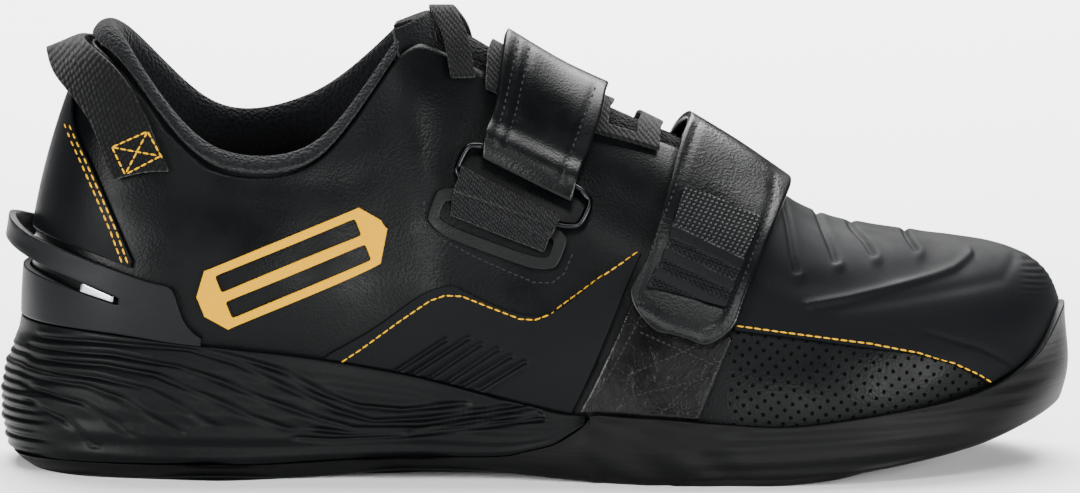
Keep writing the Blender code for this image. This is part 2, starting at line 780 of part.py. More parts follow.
def sole_stations(end, shares):
    """The upper's stations up to a place around one side, with stations at some shares of the
    length in place of those that lie close to them."""
    own = [around_at(share) for share in shares] + ([] if end == 1.0 else [end])
    kept = [at for at in STATIONS if at < end - 0.004 or at == end == 1.0]
    return sorted([at for at in kept if all(abs(at - more) > 0.004 for more in own)] + own)


def loop_around(stations):
    """(around, side) for each point of a loop: heel, lateral side, toe, medial side."""
    return [(at, LATERAL) for at in stations] + [(at, MEDIAL) for at in reversed(stations[1:-1])]


def sole_side(around, side, z):
    """A point of the sole's side wall at a height."""
    place = ring_place(around, side)
    edge, out = outline_frame(place)
    rim = rim_outer(around, side)
    low = ground_z(edge[0])
    reach = wall_reach((z - low) / (rim[2] - low))
    corner = -out * outline_corner(place) * BALL_WIDTH
    shift = corner * max(-reach, 0.0) + (rim - edge) * max(reach, 0.0)
    return np.array([edge[0] + shift[0], edge[1] + shift[1], z])


@lru_cache(maxsize=None)
def nest_wall(around, side, step, extra=0.0):
    """A point of the wall that the upper stands in: step 0 at its foot, 1 at the rim."""
    out = outline_frame(ring_place(around, side))[1]
    top = share_at_height(around, side, rim_z(station_x(around)))
    point = form(around, side, top * step) + out * (GAP + extra)
    if step == 0:
        point[2] = footbed_z(station_x(around))
    return point


def rim_outer(around, side):
    return nest_wall(around, side, 1.0, RIM_WALL)


def rungs(sheet, pairs, stations, height):
    """Rows of points between two sides: pairs holds the end points' numbers at each station,
    and height gives z along the shoe. A pair that is one point makes a row's closed end."""
    rows = []
    for (lateral, medial), around in zip(pairs, stations):
        row = [lateral]
        for j in range(1, SOLE_ACROSS):
            if lateral == medial:
                row.append(lateral)
                continue
            start, end = sheet.points[lateral], sheet.points[medial]
            point = start + (end - start) * j / SOLE_ACROSS
            point[2] = height(station_x(around))
            row.append(sheet.point(point))
        rows.append(row + [medial])
    return rows


def ring_rungs(sheet, ring, stations, height):
    """Rungs across a closed ring that runs from the heel up the lateral side and back."""
    count = len(ring)
    pairs = [(ring[i], ring[-i % count]) for i in range(count // 2 + 1)]
    return rungs(sheet, pairs, stations, height)


def join_loops(sheet, loops, closed=True):
    """Faces between loops that have the same number of points."""
    count = len(loops[0])
    for lower, upper in zip(loops, loops[1:]):
        for i in range(count if closed else count - 1):
            after = (i + 1) % count
            sheet.face(lower[i], lower[after], upper[after], upper[i])


def build_outsole(finish):
    """The rubber tread: a thin layer under the heel, a full cup with a toe bumper in front."""
    stations = sole_stations(1.0, SWEEP_SHARES + (MIDSOLE_END, 0.549, 0.560))
    ring = loop_around(stations)
    sheet = Sheet()

    def side_point(around, side, share):
        edge = outline_frame(ring_place(around, side))[0]
        low, high = ground_z(edge[0]), tread_top_z(edge[0])
        return sole_side(around, side, low + (high - low) * share)

    def nest_point(around, side, step):
        x = station_x(around)
        if not under_wedge(x):
            return nest_wall(around, side, step)
        point = nest_wall(around, side, step, FLAP_WALL + GAP).copy()
        floor = tread_floor_z(x)
        point[2] = floor + (tread_top_z(x) - floor) * step
        return point

    loops = []
    for share in OUTSOLE_LEVELS:
        loops.append([sheet.point(side_point(around, side, share)) for around, side in ring])
    for step in NEST_STEPS:
        loops.append([sheet.point(nest_point(around, side, step)) for around, side in ring])
    join_loops(sheet, loops)
    sheet.grid(ring_rungs(sheet, loops[0], stations, ground_z), flip=True)
    sheet.grid(ring_rungs(sheet, loops[-1], stations, tread_floor_z))
    return add_solid("outsole", sheet.points, sheet.faces, finish)



def under_wedge(x):
    return share_of(x) < MIDSOLE_END + 0.002


def tread_floor_z(x):
    """The tread's upper face under the foot, below the heel wedge's thin front flap."""
    return min(tread_top_z(x), footbed_z(x) - FLAP_WALL - GAP) if under_wedge(x) else footbed_z(x)


def build_midsole(finish):
    """The heel wedge, with wave ribs that run round its side and close up to the front."""
    stations = sole_stations(around_at(MIDSOLE_END), SWEEP_SHARES)
    ring = [(at, LATERAL) for at in reversed(stations)] + [(at, MEDIAL) for at in stations[1:]]
    sheet = Sheet()

    def side_point(around, side, share, rib):
        out = outline_frame(ring_place(around, side))[1]
        low = tread_top_z(station_x(around)) + GAP
        high = rim_outer(around, side)[2]
        slim = min((high - low) / HEEL_STACK, 1.0)
        return sole_side(around, side, low + (high - low) * share) + out * RIB_DEPTH * rib * slim

    def under_z(x):
        return tread_floor_z(x) + GAP

    def under_point(around, side, step):
        x = station_x(around)
        point = nest_wall(around, side, step, FLAP_WALL).copy()
        point[2] = under_z(x) + (tread_top_z(x) + GAP - under_z(x)) * step
        return point

    loops = []
    for step in reversed(NEST_STEPS):
        loops.append([sheet.point(under_point(around, side, step)) for around, side in ring])
    for share, rib in zip(MIDSOLE_RIBS["height"], MIDSOLE_RIBS["rib"]):
        loops.append([sheet.point(side_point(around, side, share, rib)) for around, side in ring])
    for step in NEST_STEPS:
        loops.append([sheet.point(nest_wall(around, side, step)) for around, side in ring])
    join_loops(sheet, loops, closed=False)
    last = len(ring) - 1
    pairs = [[(loop[i], loop[last - i]) for i in range(len(stations))] for loop in (loops[0], loops[-1])]
    under = rungs(sheet, pairs[0], stations[::-1], under_z)
    floor = rungs(sheet, pairs[1], stations[::-1], footbed_z)
    sheet.grid(under)
    sheet.grid(floor, flip=True)
    rim = [loop[0] for loop in loops] + floor[0][1:]
    rim += [loop[last] for loop in reversed(loops[:-1])] + under[0][-2:0:-1]
    sheet.face(*rim)
    return add_solid("midsole", sheet.points, sheet.faces, finish)


def leather_top(around):
    return 1.0 if around >= THROAT_END else leather_share(around)


def build_upper(finish):
    """The leather upper: one hollow wall, open at the collar, the throat and underneath."""
    sheet = Sheet()
    for side in SIDES:
        rows = []
        for around in STATIONS:
            shares = spaced(0.0, leather_top(around), UPPER_UP)
            rows.append([sheet.point(form(around, side, share)) for share in shares])
        sheet.grid(rows, flip=side == MEDIAL)
    return sheet.solid("upper", finish, wall=WALL)


def build_insole(finish):
    """The sock that lies on the footbed inside the upper."""
    stations = spaced(0.0, 1.0, INSOLE_STATIONS)
    ring = loop_around(stations)
    inset = WALL + INSOLE_CLEAR
    sheet = Sheet()
    loops = []
    for height, inward in ((GAP, 0.0), (INSOLE_THICK * 0.7, 0.0), (INSOLE_THICK, 0.0015)):
        loop = []
        for around, side in ring:
            out = outline_frame(ring_place(around, side))[1]
            point = form(around, side, 0.0) - out * (inset + inward)
            point[2] = footbed_z(station_x(around)) + height
            loop.append(sheet.point(point))
        loops.append(loop)
    join_loops(sheet, loops)
    sheet.grid(ring_rungs(sheet, loops[0], stations, lambda x: footbed_z(x) + GAP), flip=True)
    sheet.grid(ring_rungs(sheet, loops[-1], stations, lambda x: footbed_z(x) + INSOLE_THICK))
    return add_solid("insole", sheet.points, sheet.faces, finish)


def build_tongue(finish):
    """The padded tongue, which lies under the throat's edges and stands above the collar."""
    sheet = Sheet()
    rows = []
    lift = -(WALL + TONGUE_CLEAR)
    for around, share in zip(TONGUE_ROWS["around"], TONGUE_ROWS["share"]):
        shares = spaced(share, 1.0, TONGUE_ACROSS)
        edge = leather_share(around) if around < THROAT_END else 1.0
        puffs = [lift + TONGUE_PUFF * ease((at - edge) / max(1 - edge, WALL)) for at in shares]
        half = list(zip(shares, puffs))
        row = [sheet.point(off_form(around, LATERAL, *at)) for at in half]
        row += [sheet.point(off_form(around, MEDIAL, *at)) for at in reversed(half[:-1])]
        rows.append(row)
    tip = zip(*(TONGUE_TIP[name] for name in ("along", "height", "half_width", "drop", "back")))
    for along, height, half_width, drop, back in tip:
        row = []
        for turn in spaced(-TONGUE_ARC, TONGUE_ARC, 2 * TONGUE_ACROSS):
            row.append(sheet.point((
                along_x(along - back * (1 - math.cos(turn))),
                half_width * BALL_WIDTH * math.sin(turn),
                (height - drop * (1 - math.cos(turn))) * COLLAR_HEIGHT,
            )))
        rows.append(row)
    sheet.grid(rows, flip=True)
    return sheet.solid("tongue", finish, wall=TONGUE_WALL)


def build_collar_roll(finish):
    """The padded lining that rolls over the collar's edge."""
    sheet = Sheet()
    stations = [at for at in STATIONS if at <= COLLAR_END]
    ring = [(at, LATERAL) for at in reversed(stations)] + [(at, MEDIAL) for at in stations[1:]]
    loops = []
    for around, side in ring:
        thick = ROLL_THICK * (1 - (1 - ROLL_FRONT) * (around / COLLAR_END) ** 3)
        loop = []
        for share, off, up in zip(ROLL["share"], ROLL["off"], ROLL["up"]):
            lift = min(off * thick, 0.0) if off < 0 else off * ROLL_THICK
            if -0.5 < off < -0.36:
                lift = -(WALL + ROLL_CLEAR)
            point = off_form(around, side, share, lift)
            point[2] += up * ROLL_THICK
            loop.append(sheet.point(point))
        loops.append(loop)
    for before, after in zip(loops, loops[1:]):
        for j in range(len(before)):
            k = (j + 1) % len(before)
            sheet.face(before[j], after[j], after[k], before[k])
    sheet.face(*loops[0])
    sheet.face(*reversed(loops[-1]))
    return add_solid("collar_lining", sheet.points, sheet.faces, finish)


def over_ridge(around, reach, lift):
    """A point over the form, with reach from the lateral foot over the ridge to the medial foot."""
    side = LATERAL if reach <= 1 else MEDIAL
    return off_form(around, side, 1 - abs(1 - reach), lift)


def round_heel(around, share, lift):
    """A point over the form, with around negative on the medial side of the heel."""
    side = LATERAL if around >= 0 else MEDIAL
    return off_form(abs(around), side, share, lift)


def reach_of(side, share):
    return share if side == LATERAL else 2 - share


def rim_share(around, side):
    """How far up a section an overlay clears the sole's rim."""
    return share_at_height(around, side, rim_z(station_x(around)) + RIM_CLEAR)


def layer(name, finish, rows, thick, place=over_ridge, skip=()):
    """A solid over the form from rows of (around, reach, lift), where lift is its underside."""
    sheet = Sheet()
    grid = []
    for row in rows:
        grid.append([sheet.point(place(a, r, lift + thick), place(a, r, lift)) for a, r, lift in row])
    sheet.grid(grid, skip=skip)
    return sheet.solid(name, finish)


def build_backstay(finish):
    """The strip up the back of the heel, wide at the clip and narrow at the collar."""
    rows = []
    edge = list(zip(BACKSTAY["around"], BACKSTAY["share"]))
    for side in SIDES:
        for around, top in edge[::-1] if side == LATERAL else edge[1:]:
            shares = spaced(BACKSTAY_LOW, top, BACKSTAY_UP)
            rows.append([(-side * around, share, SKIN_LIFT) for share in shares])
    return layer("backstay", finish, rows, SKIN, place=round_heel)


def build_toe_overlay(finish):
    """The moulded vamp and toe overlay, from under the forefoot strap down to the toe's rim."""
    edge = even_curve(TOE_EDGE["around"], TOE_EDGE["share"])
    rows = []
    for around in (at for at in STATIONS if at >= THROAT_END):
        row = []
        for side in SIDES:
            low = max(edge(around), rim_share(around, side))
            shares = [max(low, share) for share in spaced(0.0, 1.0, UPPER_UP)]
            half = [(around, reach_of(side, share), SKIN_LIFT) for share in shares]
            row += half if side == LATERAL else half[-2::-1]
        rows.append(row)
    return layer("toe_overlay", finish, rows, SKIN)


def build_panel(name, finish, side, source):
    """A flat overlay on one side of the upper."""
    rows = []
    for low, low_share, high, high_share in zip(*source.values()):
        start = max(low_share, rim_share(low, side))
        row = []
        for step in spaced(0.0, 1.0, PANEL_UP):
            share = start + (high_share - start) * step
            row.append((low + (high - low) * step, reach_of(side, share), SKIN_LIFT))
        rows.append(row)
    return layer(name, finish, rows, SKIN)


def clip_levels(around, side, curves):
    """The share and the lift of each level of the heel clip, from the rim to its top edge."""
    low = rim_share(around, side)
    slot_low = share_at_height(around, side, curves["slot_low"](around) * COLLAR_HEIGHT)
    slot_high = share_at_height(around, side, curves["slot_high"](around) * COLLAR_HEIGHT)
    high = share_at_height(around, side, curves["high"](around) * COLLAR_HEIGHT)
    far = SKIN_LIFT + curves["flare"](around)
    lower = [(low + (slot_low - low) * step, SKIN_LIFT) for step in (0.0, 0.33, 0.67, 1.0)]
    return lower + [(slot_high, far), ((slot_high + high) / 2, far), (high, far)]


def clip_curves():
    return {name: even_curve(CLIP["around"], CLIP[name]) for name in CLIP if name != "around"}


def build_heel_clip(finish):
    """The plastic shell round the heel, with a slot under a band that stands off at the back."""
    curves = clip_curves()
    places = [-at for at in CLIP["around"][:0:-1]] + CLIP["around"]
    rows = []
    for place in places:
        side = LATERAL if place >= 0 else MEDIAL
        levels = clip_levels(abs(place), side, curves)
        rows.append([(place, share, lift) for share, lift in levels])
    slot = len(rows[0]) - 4
    skip = {(i, slot) for i in range(len(places) - 1) if max(abs(places[i]), abs(places[i + 1])) <= CLIP_SLOT_END}
    return layer("heel_clip", finish, rows, CLIP_WALL, place=round_heel, skip=skip)


def build_insert(name, finish, side):
    """The bright slug at the front end of the clip's slot."""
    curves = clip_curves()
    front = CLIP_SLOT_END - INSERT_FRONT
    rows = []
    for around in (front - INSERT_LONG, front - INSERT_SLOPE, front):
        low = curves["slot_low"](around) * COLLAR_HEIGHT + INSERT_CLEAR
        high = curves["slot_high"](around) * COLLAR_HEIGHT - INSERT_CLEAR
        row = []
        for height in (low, high):
            share = share_at_height(around, side, height)
            row.append((around, reach_of(side, share), SKIN_LIFT))
        rows.append(row)
    return layer(name, finish, rows, CLIP_WALL)


def band_point(source, run, cross, extra=0.0):
    """A point of a band, with cross 0 at its back edge and 1 at its front edge."""
    knots = source["run"]
    at = {name: even_curve(knots, source[name])(run) for name in source if name != "run"}
    around = at["back"] + (at["front"] - at["back"]) * cross
    reach = at["back_reach"] + (at["front_reach"] - at["back_reach"]) * cross
    lift = at["back_lift"] + (at["front_lift"] - at["back_lift"]) * cross
    return around, reach, lift + extra


def build_band(name, finish, source, runs, crosses, thick, extra=0.0):
    rows = [[band_point(source, run, cross, extra) for cross in crosses] for run in runs]
    return layer(name, finish, rows, thick)


def build_strap(name, finish, source):
    """A strap over the instep, standing clear of the laces under it."""
    runs, crosses = spaced(0.0, 1.0, STRAP_ROWS), spaced(0.0, 1.0, STRAP_ACROSS)
    return build_band(name, finish, source, runs, crosses, STRAP_THICK)


def build_grip(name, finish, source):
    """The textured grip panel on a strap's closing end."""
    first, last = GRIP_ROWS[name]
    runs = spaced(0.0, 1.0, STRAP_ROWS)[first:last + 1]
    return build_band(name, finish, source, runs, GRIP_ACROSS, GRIP_THICK, STRAP_THICK + GAP)


def build_pull_loop(finish):
    """The webbing loop at the back of the collar, sewn down on both sides."""
    half = spaced(0.0, 1.0, PULL_ROWS // 2)
    crosses = spaced(0.0, 1.0, PULL_ACROSS)
    rows = [[band_point(PULL_LOOP, run, cross) for cross in crosses] for run in half]
    rows += [[(-around, share, lift) for around, share, lift in row] for row in rows[-2::-1]]
    return layer("pull_loop", finish, rows, PULL_THICK, place=round_heel)


def tangent_plane(around, side, share, tilt):
    """A function from lengths along and across a tilted direction on the form to (around, share)."""
    step = 1e-3
    run = (form(around + step, side, share) - form(around - step, side, share)) / (2 * step)
    rise = (form(around, side, share + step) - form(around, side, share - step)) / (2 * step)
    along = run / np.linalg.norm(run)
    up = rise - along * (rise @ along)
    up = up / np.linalg.norm(up)
    turn = math.radians(tilt)
    matrix = np.linalg.inv(np.array([[run @ along, rise @ along], [run @ up, rise @ up]]))

    centre = form(around, side, share)

    def place(length, height):
        ahead = length * math.cos(turn) - height * math.sin(turn)
        above = length * math.sin(turn) + height * math.cos(turn)
        at, up_at = around, share
        for _ in range(PLANE_STEPS):
            offset = form(at, side, up_at) - centre
            moved = matrix @ np.array([ahead - offset @ along, above - offset @ up])
            at, up_at = at + moved[0], up_at + moved[1]
        return at, up_at

    return place


def rounded(place, count, long, short):
    """(around, share) of points round a rectangle with soft corners."""
    loop = []
    for i in range(count):
        turn = 2 * math.pi * (i + 0.5) / count
        wide, tall = math.cos(turn), math.sin(turn)
        power = 2 / RING_SQUARE
        loop.append(place(
            long * math.copysign(abs(wide) ** power, wide),
            short * math.copysign(abs(tall) ** power, tall),
        ))
    return loop


def build_ring(name, finish, side, around, share, tilt):
    """A round-wire metal ring."""
    centres = []
    for at, up in rounded(tangent_plane(around, side, share, tilt), RING_AROUND, RING_LONG, RING_SHORT):
        centres.append((off_form(at, side, up, RING_LIFT), form_normal(round(at, 7), side, round(up, 7))))
    sheet = Sheet()
    loops = []
    count = len(centres)
    for i in range(count):
        point, normal = centres[i]
        run = centres[(i + 1) % count][0] - centres[i - 1][0]
        across = np.cross(normal, run)
        across = across / np.linalg.norm(across)
        lift = np.cross(run, across)
        lift = lift / np.linalg.norm(lift)
        turns = [2 * math.pi * j / RING_SIDES for j in range(RING_SIDES)]
        loops.append([
            sheet.point(point + RING_WIRE * (across * math.cos(turn) + lift * math.sin(turn)))
            for turn in turns
        ])
    join_loops(sheet, loops + [loops[0]])
    return add_solid(name, sheet.points, sheet.faces, finish)


def build_slot_frame(name, finish, side, around, share, tilt):
    """The raised stitched frame round the slot that the webbing goes into."""
    place = tangent_plane(around, side, share, tilt)
    sheet = Sheet()
    loops = []
    for inset in (0.0, FRAME_BORDER):
        loops.append([
            sheet.point(off_form(at, side, up, SKIN_LIFT + FRAME_THICK), off_form(at, side, up, SKIN_LIFT))
            for at, up in rounded(place, FRAME_AROUND, FRAME_LONG - inset, FRAME_SHORT - inset)
        ])
    join_loops(sheet, loops)
    return sheet.solid(name, finish)


def build_laces(finish):
    """The lace's bars over the throat, joined along alternate rows of eyelets."""
    rows = []
    for bar in LACE_BARS:
        for around in (bar, bar + LACE_WIDTH):
            low = leather_share(around) - LACE_EDGE[0]
            inner = low + LACE_EDGE[0] - LACE_EDGE[1]
            reaches = [low] + spaced(inner, 2 - inner, LACE_ACROSS) + [2 - low]
            rows.append([(around, reach, LACE_LIFT) for reach in reaches])
    last = LACE_ACROSS + 1
    skip = set()
    for i in range(1, len(rows) - 1, 2):
        kept = 0 if i % 4 == 1 else last
        skip |= {(i, j) for j in range(last + 1) if j != kept}
    return layer("laces", finish, rows, LACE_THICK, skip=skip)


def build_lace_tie(finish):
    """The lace from the top eyelets up to where it is tied over the tongue."""
    stops = [off_form(*TIE_EYELET[:1], LATERAL, TIE_EYELET[1], LACE_LIFT + LACE_THICK)]
    stops.append(off_form(TIE_SIDE[0], LATERAL, *TIE_SIDE[1:]))
    stops.append(np.array((along_x(TIE_ALONG), 0.0, COLLAR_HEIGHT + TIE_RISE)))
    stops.append(off_form(TIE_SIDE[0], MEDIAL, *TIE_SIDE[1:]))
    stops.append(off_form(*TIE_EYELET[:1], MEDIAL, TIE_EYELET[1], LACE_LIFT + LACE_THICK))
    knots = spaced(0.0, 1.0, len(stops) - 1)
    curves = [even_curve(knots, [float(stop[axis]) for stop in stops]) for axis in range(3)]
    sheet = Sheet()
    rows = []
    for at in spaced(0.0, 1.0, TIE_ROWS):
        centre = np.array([curve(at) for curve in curves])
        half = np.array([TIE_WIDTH / 2, 0.0, 0.0])
        rows.append([sheet.point(centre - half), sheet.point(centre + half)])
    sheet.grid(rows)
    return sheet.solid("lace_tie", finish, wall=LACE_THICK)


def build_badge(finish):
    """A plain raised motif on the lateral quarter: a long six-sided outline with a bar in it."""
    place = tangent_plane(BADGE_PLACE[0], LATERAL, BADGE_PLACE[1], BADGE_PLACE[2])
    rows = []
    for length in BADGE_LONG:
        narrow = BADGE_POINT if abs(length) == BADGE_LONG[-1] else 1.0
        rows.append([(*place(length, tall * narrow), BADGE_LIFT) for tall in BADGE_TALL])
    skip = {(i, j) for i in range(2, len(BADGE_LONG) - 3) for j in (1, 3)}
    return layer("side_badge", finish, rows, BADGE_THICK, skip=skip)


def main():
    for old in list(bpy.data.objects):
        bpy.data.objects.remove(old, do_unlink=True)
    rubber = material("rubber", (0.012, 0.012, 0.013), 0.35)
    foam = material("moulded_wedge", (0.014, 0.014, 0.015), 0.5)
    leather = material("leather", (0.014, 0.015, 0.016), 0.4)
    overlay = material("overlay", (0.011, 0.012, 0.015), 0.6)
    knit = material("knit", (0.01, 0.01, 0.01), 0.9)
    webbing = material("webbing", (0.01, 0.01, 0.01), 0.8)
    plastic = material("clip_plastic", (0.035, 0.036, 0.038), 0.5)
    metal = material("metal", (0.55, 0.56, 0.58), 0.25, metallic=1.0)
    accent = material("accent", (0.62, 0.50, 0.16), 0.45)
    build_outsole(rubber)
    build_midsole(foam)
    build_upper(leather)
    build_insole(knit)
    build_tongue(knit)
    build_collar_roll(knit)
    build_backstay(overlay)
    build_toe_overlay(overlay)
    build_panel("side_overlay_lateral", overlay, LATERAL, SIDE_OVERLAY[LATERAL])
    build_panel("side_overlay_medial", overlay, MEDIAL, SIDE_OVERLAY[MEDIAL])
    build_panel("loop_panel_lateral", webbing, LATERAL, LOOP_PANEL[LATERAL])
    build_panel("loop_panel_medial", webbing, MEDIAL, LOOP_PANEL[MEDIAL])
    build_heel_clip(plastic)
    build_insert("clip_insert_lateral", metal, LATERAL)
    build_insert("clip_insert_medial", metal, MEDIAL)
    build_strap("ankle_strap", leather, ANKLE_STRAP)
    build_strap("forefoot_strap", leather, FOREFOOT_STRAP)
    build_grip("ankle_grip", webbing, ANKLE_STRAP)
    build_grip("forefoot_grip", webbing, FOREFOOT_STRAP)
    build_pull_loop(webbing)
    build_laces(webbing)
    build_lace_tie(webbing)
    build_badge(accent)
    for side, ring_at, ring_up, ring_tilt, frame_at, frame_up, frame_tilt in zip(*FITTINGS.values()):
        end = "lateral" if side == LATERAL else "medial"
        runs, crosses = spaced(0.0, 1.0, WEBBING_ROWS), spaced(0.0, 1.0, STRAP_ACROSS)
        build_band("webbing_" + end, webbing, WEBBING[side], runs, crosses, WEBBING_THICK)
        build_ring("ring_" + end, metal, side, ring_at, ring_up, ring_tilt)
        build_slot_frame("slot_frame_" + end, leather, side, frame_at, frame_up, frame_tilt)


main()
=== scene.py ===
"""Looks of the weightlifting shoe: leather, overlays, knit, webbing, rubber, thread and metal."""

import math

import bpy
import numpy as np
from mathutils import Euler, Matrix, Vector


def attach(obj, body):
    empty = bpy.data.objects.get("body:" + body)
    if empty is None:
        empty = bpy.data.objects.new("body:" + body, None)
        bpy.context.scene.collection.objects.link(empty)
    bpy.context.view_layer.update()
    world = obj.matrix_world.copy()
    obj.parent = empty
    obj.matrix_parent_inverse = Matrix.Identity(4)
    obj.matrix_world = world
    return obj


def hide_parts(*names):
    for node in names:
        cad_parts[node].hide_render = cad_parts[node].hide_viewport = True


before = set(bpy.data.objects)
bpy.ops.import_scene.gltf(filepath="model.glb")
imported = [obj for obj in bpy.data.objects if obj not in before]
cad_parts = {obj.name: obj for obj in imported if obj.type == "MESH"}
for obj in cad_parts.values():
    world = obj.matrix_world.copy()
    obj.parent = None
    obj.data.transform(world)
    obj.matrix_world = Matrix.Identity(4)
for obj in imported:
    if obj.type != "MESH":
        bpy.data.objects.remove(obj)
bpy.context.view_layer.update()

# Camera, light and floor: the lens looks at the outer side of the shoe from a little above, over
# a pale floor. A wide panel hangs behind the shoe, and smaller ones put soft streaks on it.
VIEW_AT = Vector((0.0912, 0.0, 0.0600))
VIEW_TILT = math.radians(7.5)
VIEW_FAR = 2.0
VIEW_WIDTH = 0.3028
SENSOR = 36.0
WORLD_LIGHT = 0.08
FLOOR_SIZE = 30.0
FLOOR_PALE = 0.9

camera_data = bpy.data.cameras.new("camera")
camera_data.sensor_width = SENSOR
camera_data.lens = SENSOR * VIEW_FAR / VIEW_WIDTH
camera = bpy.data.objects.new("camera", camera_data)
camera.location = VIEW_AT + VIEW_FAR * Vector((0, -math.cos(VIEW_TILT), math.sin(VIEW_TILT)))
camera.rotation_euler = Euler((math.pi / 2 - VIEW_TILT, 0, 0))
bpy.context.scene.collection.objects.link(camera)
bpy.context.scene.camera = camera

world = bpy.data.worlds.new("studio")
world.use_nodes = True
background = world.node_tree.nodes["Background"]
background.inputs["Color"].default_value = (1.0, 1.0, 1.0, 1.0)
background.inputs["Strength"].default_value = WORLD_LIGHT
bpy.context.scene.world = world

# Each lamp: its name, where it stands, what it faces, its size in metres and its power in watts.
PANELS = (
    ("back_panel", (0.10, 1.45, 1.80), (0.09, 0.75, 0.0), 2.2, 290.0),
    ("heel_streak", (-1.05, -1.20, 0.40), (0.0, 0.0, 0.06), 0.55, 40.0),
    ("front_streak", (0.10, -1.30, 1.30), (0.09, 0.0, 0.05), 0.60, 16.0),
    ("toe_streak", (1.20, -1.10, 0.38), (0.19, -0.03, 0.03), 0.50, 34.0),
    ("low_streak", (0.35, -1.60, 0.22), (0.10, 0.0, 0.01), 0.35, 14.0),
)
for name, place, aim, size, power in PANELS:
    lamp_data = bpy.data.lights.new(name, "AREA")
    lamp_data.size = size
    lamp_data.energy = power
    lamp = bpy.data.objects.new(name, lamp_data)
    lamp.location = place
    lamp.rotation_euler = (Vector(aim) - Vector(place)).to_track_quat("-Z", "Y").to_euler()
    bpy.context.scene.collection.objects.link(lamp)

bpy.ops.object.select_all(action="DESELECT")
bpy.ops.mesh.primitive_plane_add(size=FLOOR_SIZE, location=(0, 0, 0))
floor = bpy.context.object
floor.name = "floor"
floor_paint = bpy.data.materials.new("pale_floor")
floor_paint.use_nodes = True
floor_shader = floor_paint.node_tree.nodes["Principled BSDF"]
floor_shader.inputs["Base Color"].default_value = (FLOOR_PALE, FLOOR_PALE, FLOOR_PALE, 1)
floor_shader.inputs["Roughness"].default_value = 0.9
floor.data.materials.append(floor_paint)


# Heel wedge: one block of firm moulded foam, satin black. Long carved lines flow round the heel,
# dive towards the sole behind the arch and fan out flat again at the wedge's thin front end.
def finish(name, colour, roughness, metallic=0.0, sheen=0.0, specular=0.05):
    """A material with its plain values set straight on the shader."""
    made = bpy.data.materials.new(name)
    made.use_nodes = True
    shader = made.node_tree.nodes["Principled BSDF"]
    shader.inputs["Base Color"].default_value = (*colour, 1.0)
    shader.inputs["Roughness"].default_value = roughness
    shader.inputs["Metallic"].default_value = metallic
    shader.inputs["Specular IOR Level"].default_value = specular
    shader.inputs["Sheen Weight"].default_value = sheen
    shader.inputs["Sheen Roughness"].default_value = 0.5
    return made


def add_node(made, kind, **settings):
    """One shader node, with inputs and properties set by name."""
    node = made.node_tree.nodes.new(kind)
    for key, value in settings.items():
        label = key.replace("_", " ")
        if label in node.inputs:
            node.inputs[label].default_value = value
        else:
            setattr(node, key, value)
    return node


def link(made, start, end):
    made.node_tree.links.new(start, end)


def place_on(made, scale=(1, 1, 1), turn=(0, 0, 0)):
    """The piece's own coordinates in metres, turned and scaled."""
    source = add_node(made, "ShaderNodeTexCoord")
    mapping = add_node(made, "ShaderNodeMapping")
    mapping.inputs["Scale"].default_value = scale
    mapping.inputs["Rotation"].default_value = turn
    link(made, source.outputs["Object"], mapping.inputs["Vector"])
    return mapping.outputs["Vector"]


def noise(made, scale, detail=3.0, where=None, distortion=0.0):
    """Cloudy noise with about this many clouds a metre."""
    texture = add_node(
        made, "ShaderNodeTexNoise", Scale=scale, Detail=detail, Distortion=distortion
    )
    link(made, where or place_on(made), texture.inputs["Vector"])
    return texture.outputs["Fac"]


def cells(made, scale, where=None, feature="F1", metric="EUCLIDEAN", jumble=1.0):
    """How far each point is from the nearest cell's middle, or from the next one for F2."""
    texture = add_node(
        made, "ShaderNodeTexVoronoi",
        feature=feature, Scale=scale, distance=metric, Randomness=jumble,
    )
    link(made, where or place_on(made), texture.inputs["Vector"])
    return texture.outputs["Distance"]


def relief(made, height, distance, strength=1.0):
    """Adds a height to the surface, in metres, on top of what is already there."""
    shader = made.node_tree.nodes["Principled BSDF"]
    bump = add_node(made, "ShaderNodeBump", Strength=strength, Distance=distance)
    link(made, height, bump.inputs["Height"])
    if shader.inputs["Normal"].is_linked:
        link(made, shader.inputs["Normal"].links[0].from_socket, bump.inputs["Normal"])
    link(made, bump.outputs["Normal"], shader.inputs["Normal"])


def ramp(made, factor, low, high, to_low, to_high):
    """A factor's range mapped onto another, held at both ends."""
    node = add_node(made, "ShaderNodeMapRange")
    ends = {"From Min": low, "From Max": high, "To Min": to_low, "To Max": to_high}
    for label, value in ends.items():
        node.inputs[label].default_value = value
    link(made, factor, node.inputs["Value"])
    return node.outputs["Result"]


def product(made, first, second):
    """Two factors multiplied."""
    node = add_node(made, "ShaderNodeMath", operation="MULTIPLY")
    link(made, first, node.inputs[0])
    link(made, second, node.inputs[1])
    return node.outputs[0]


def vary_gloss(made, factor, low, high):
    """Lets the roughness drift between two values with a factor."""
    shader = made.node_tree.nodes["Principled BSDF"]
    link(made, ramp(made, factor, 0.3, 0.7, low, high), shader.inputs["Roughness"])


def tint(made, factor, colour):
    """Mixes another colour in where the factor is high."""
    shader = made.node_tree.nodes["Principled BSDF"]
    mix = add_node(made, "ShaderNodeMix", data_type="RGBA")
    base = shader.inputs["Base Color"]
    if base.is_linked:
        link(made, base.links[0].from_socket, mix.inputs[6])
    else:
        mix.inputs[6].default_value = base.default_value[:]
    mix.inputs[7].default_value = (*colour, 1.0)
    link(made, factor, mix.inputs[0])
    link(made, mix.outputs[2], base)


def pick(piece):
    """Makes one piece the only one that is selected, and the active one."""
    bpy.ops.object.select_all(action="DESELECT")
    bpy.context.view_layer.objects.active = piece
    piece.select_set(True)


HOLD_TURNS = 3
HOLD_SHARE = 0.85


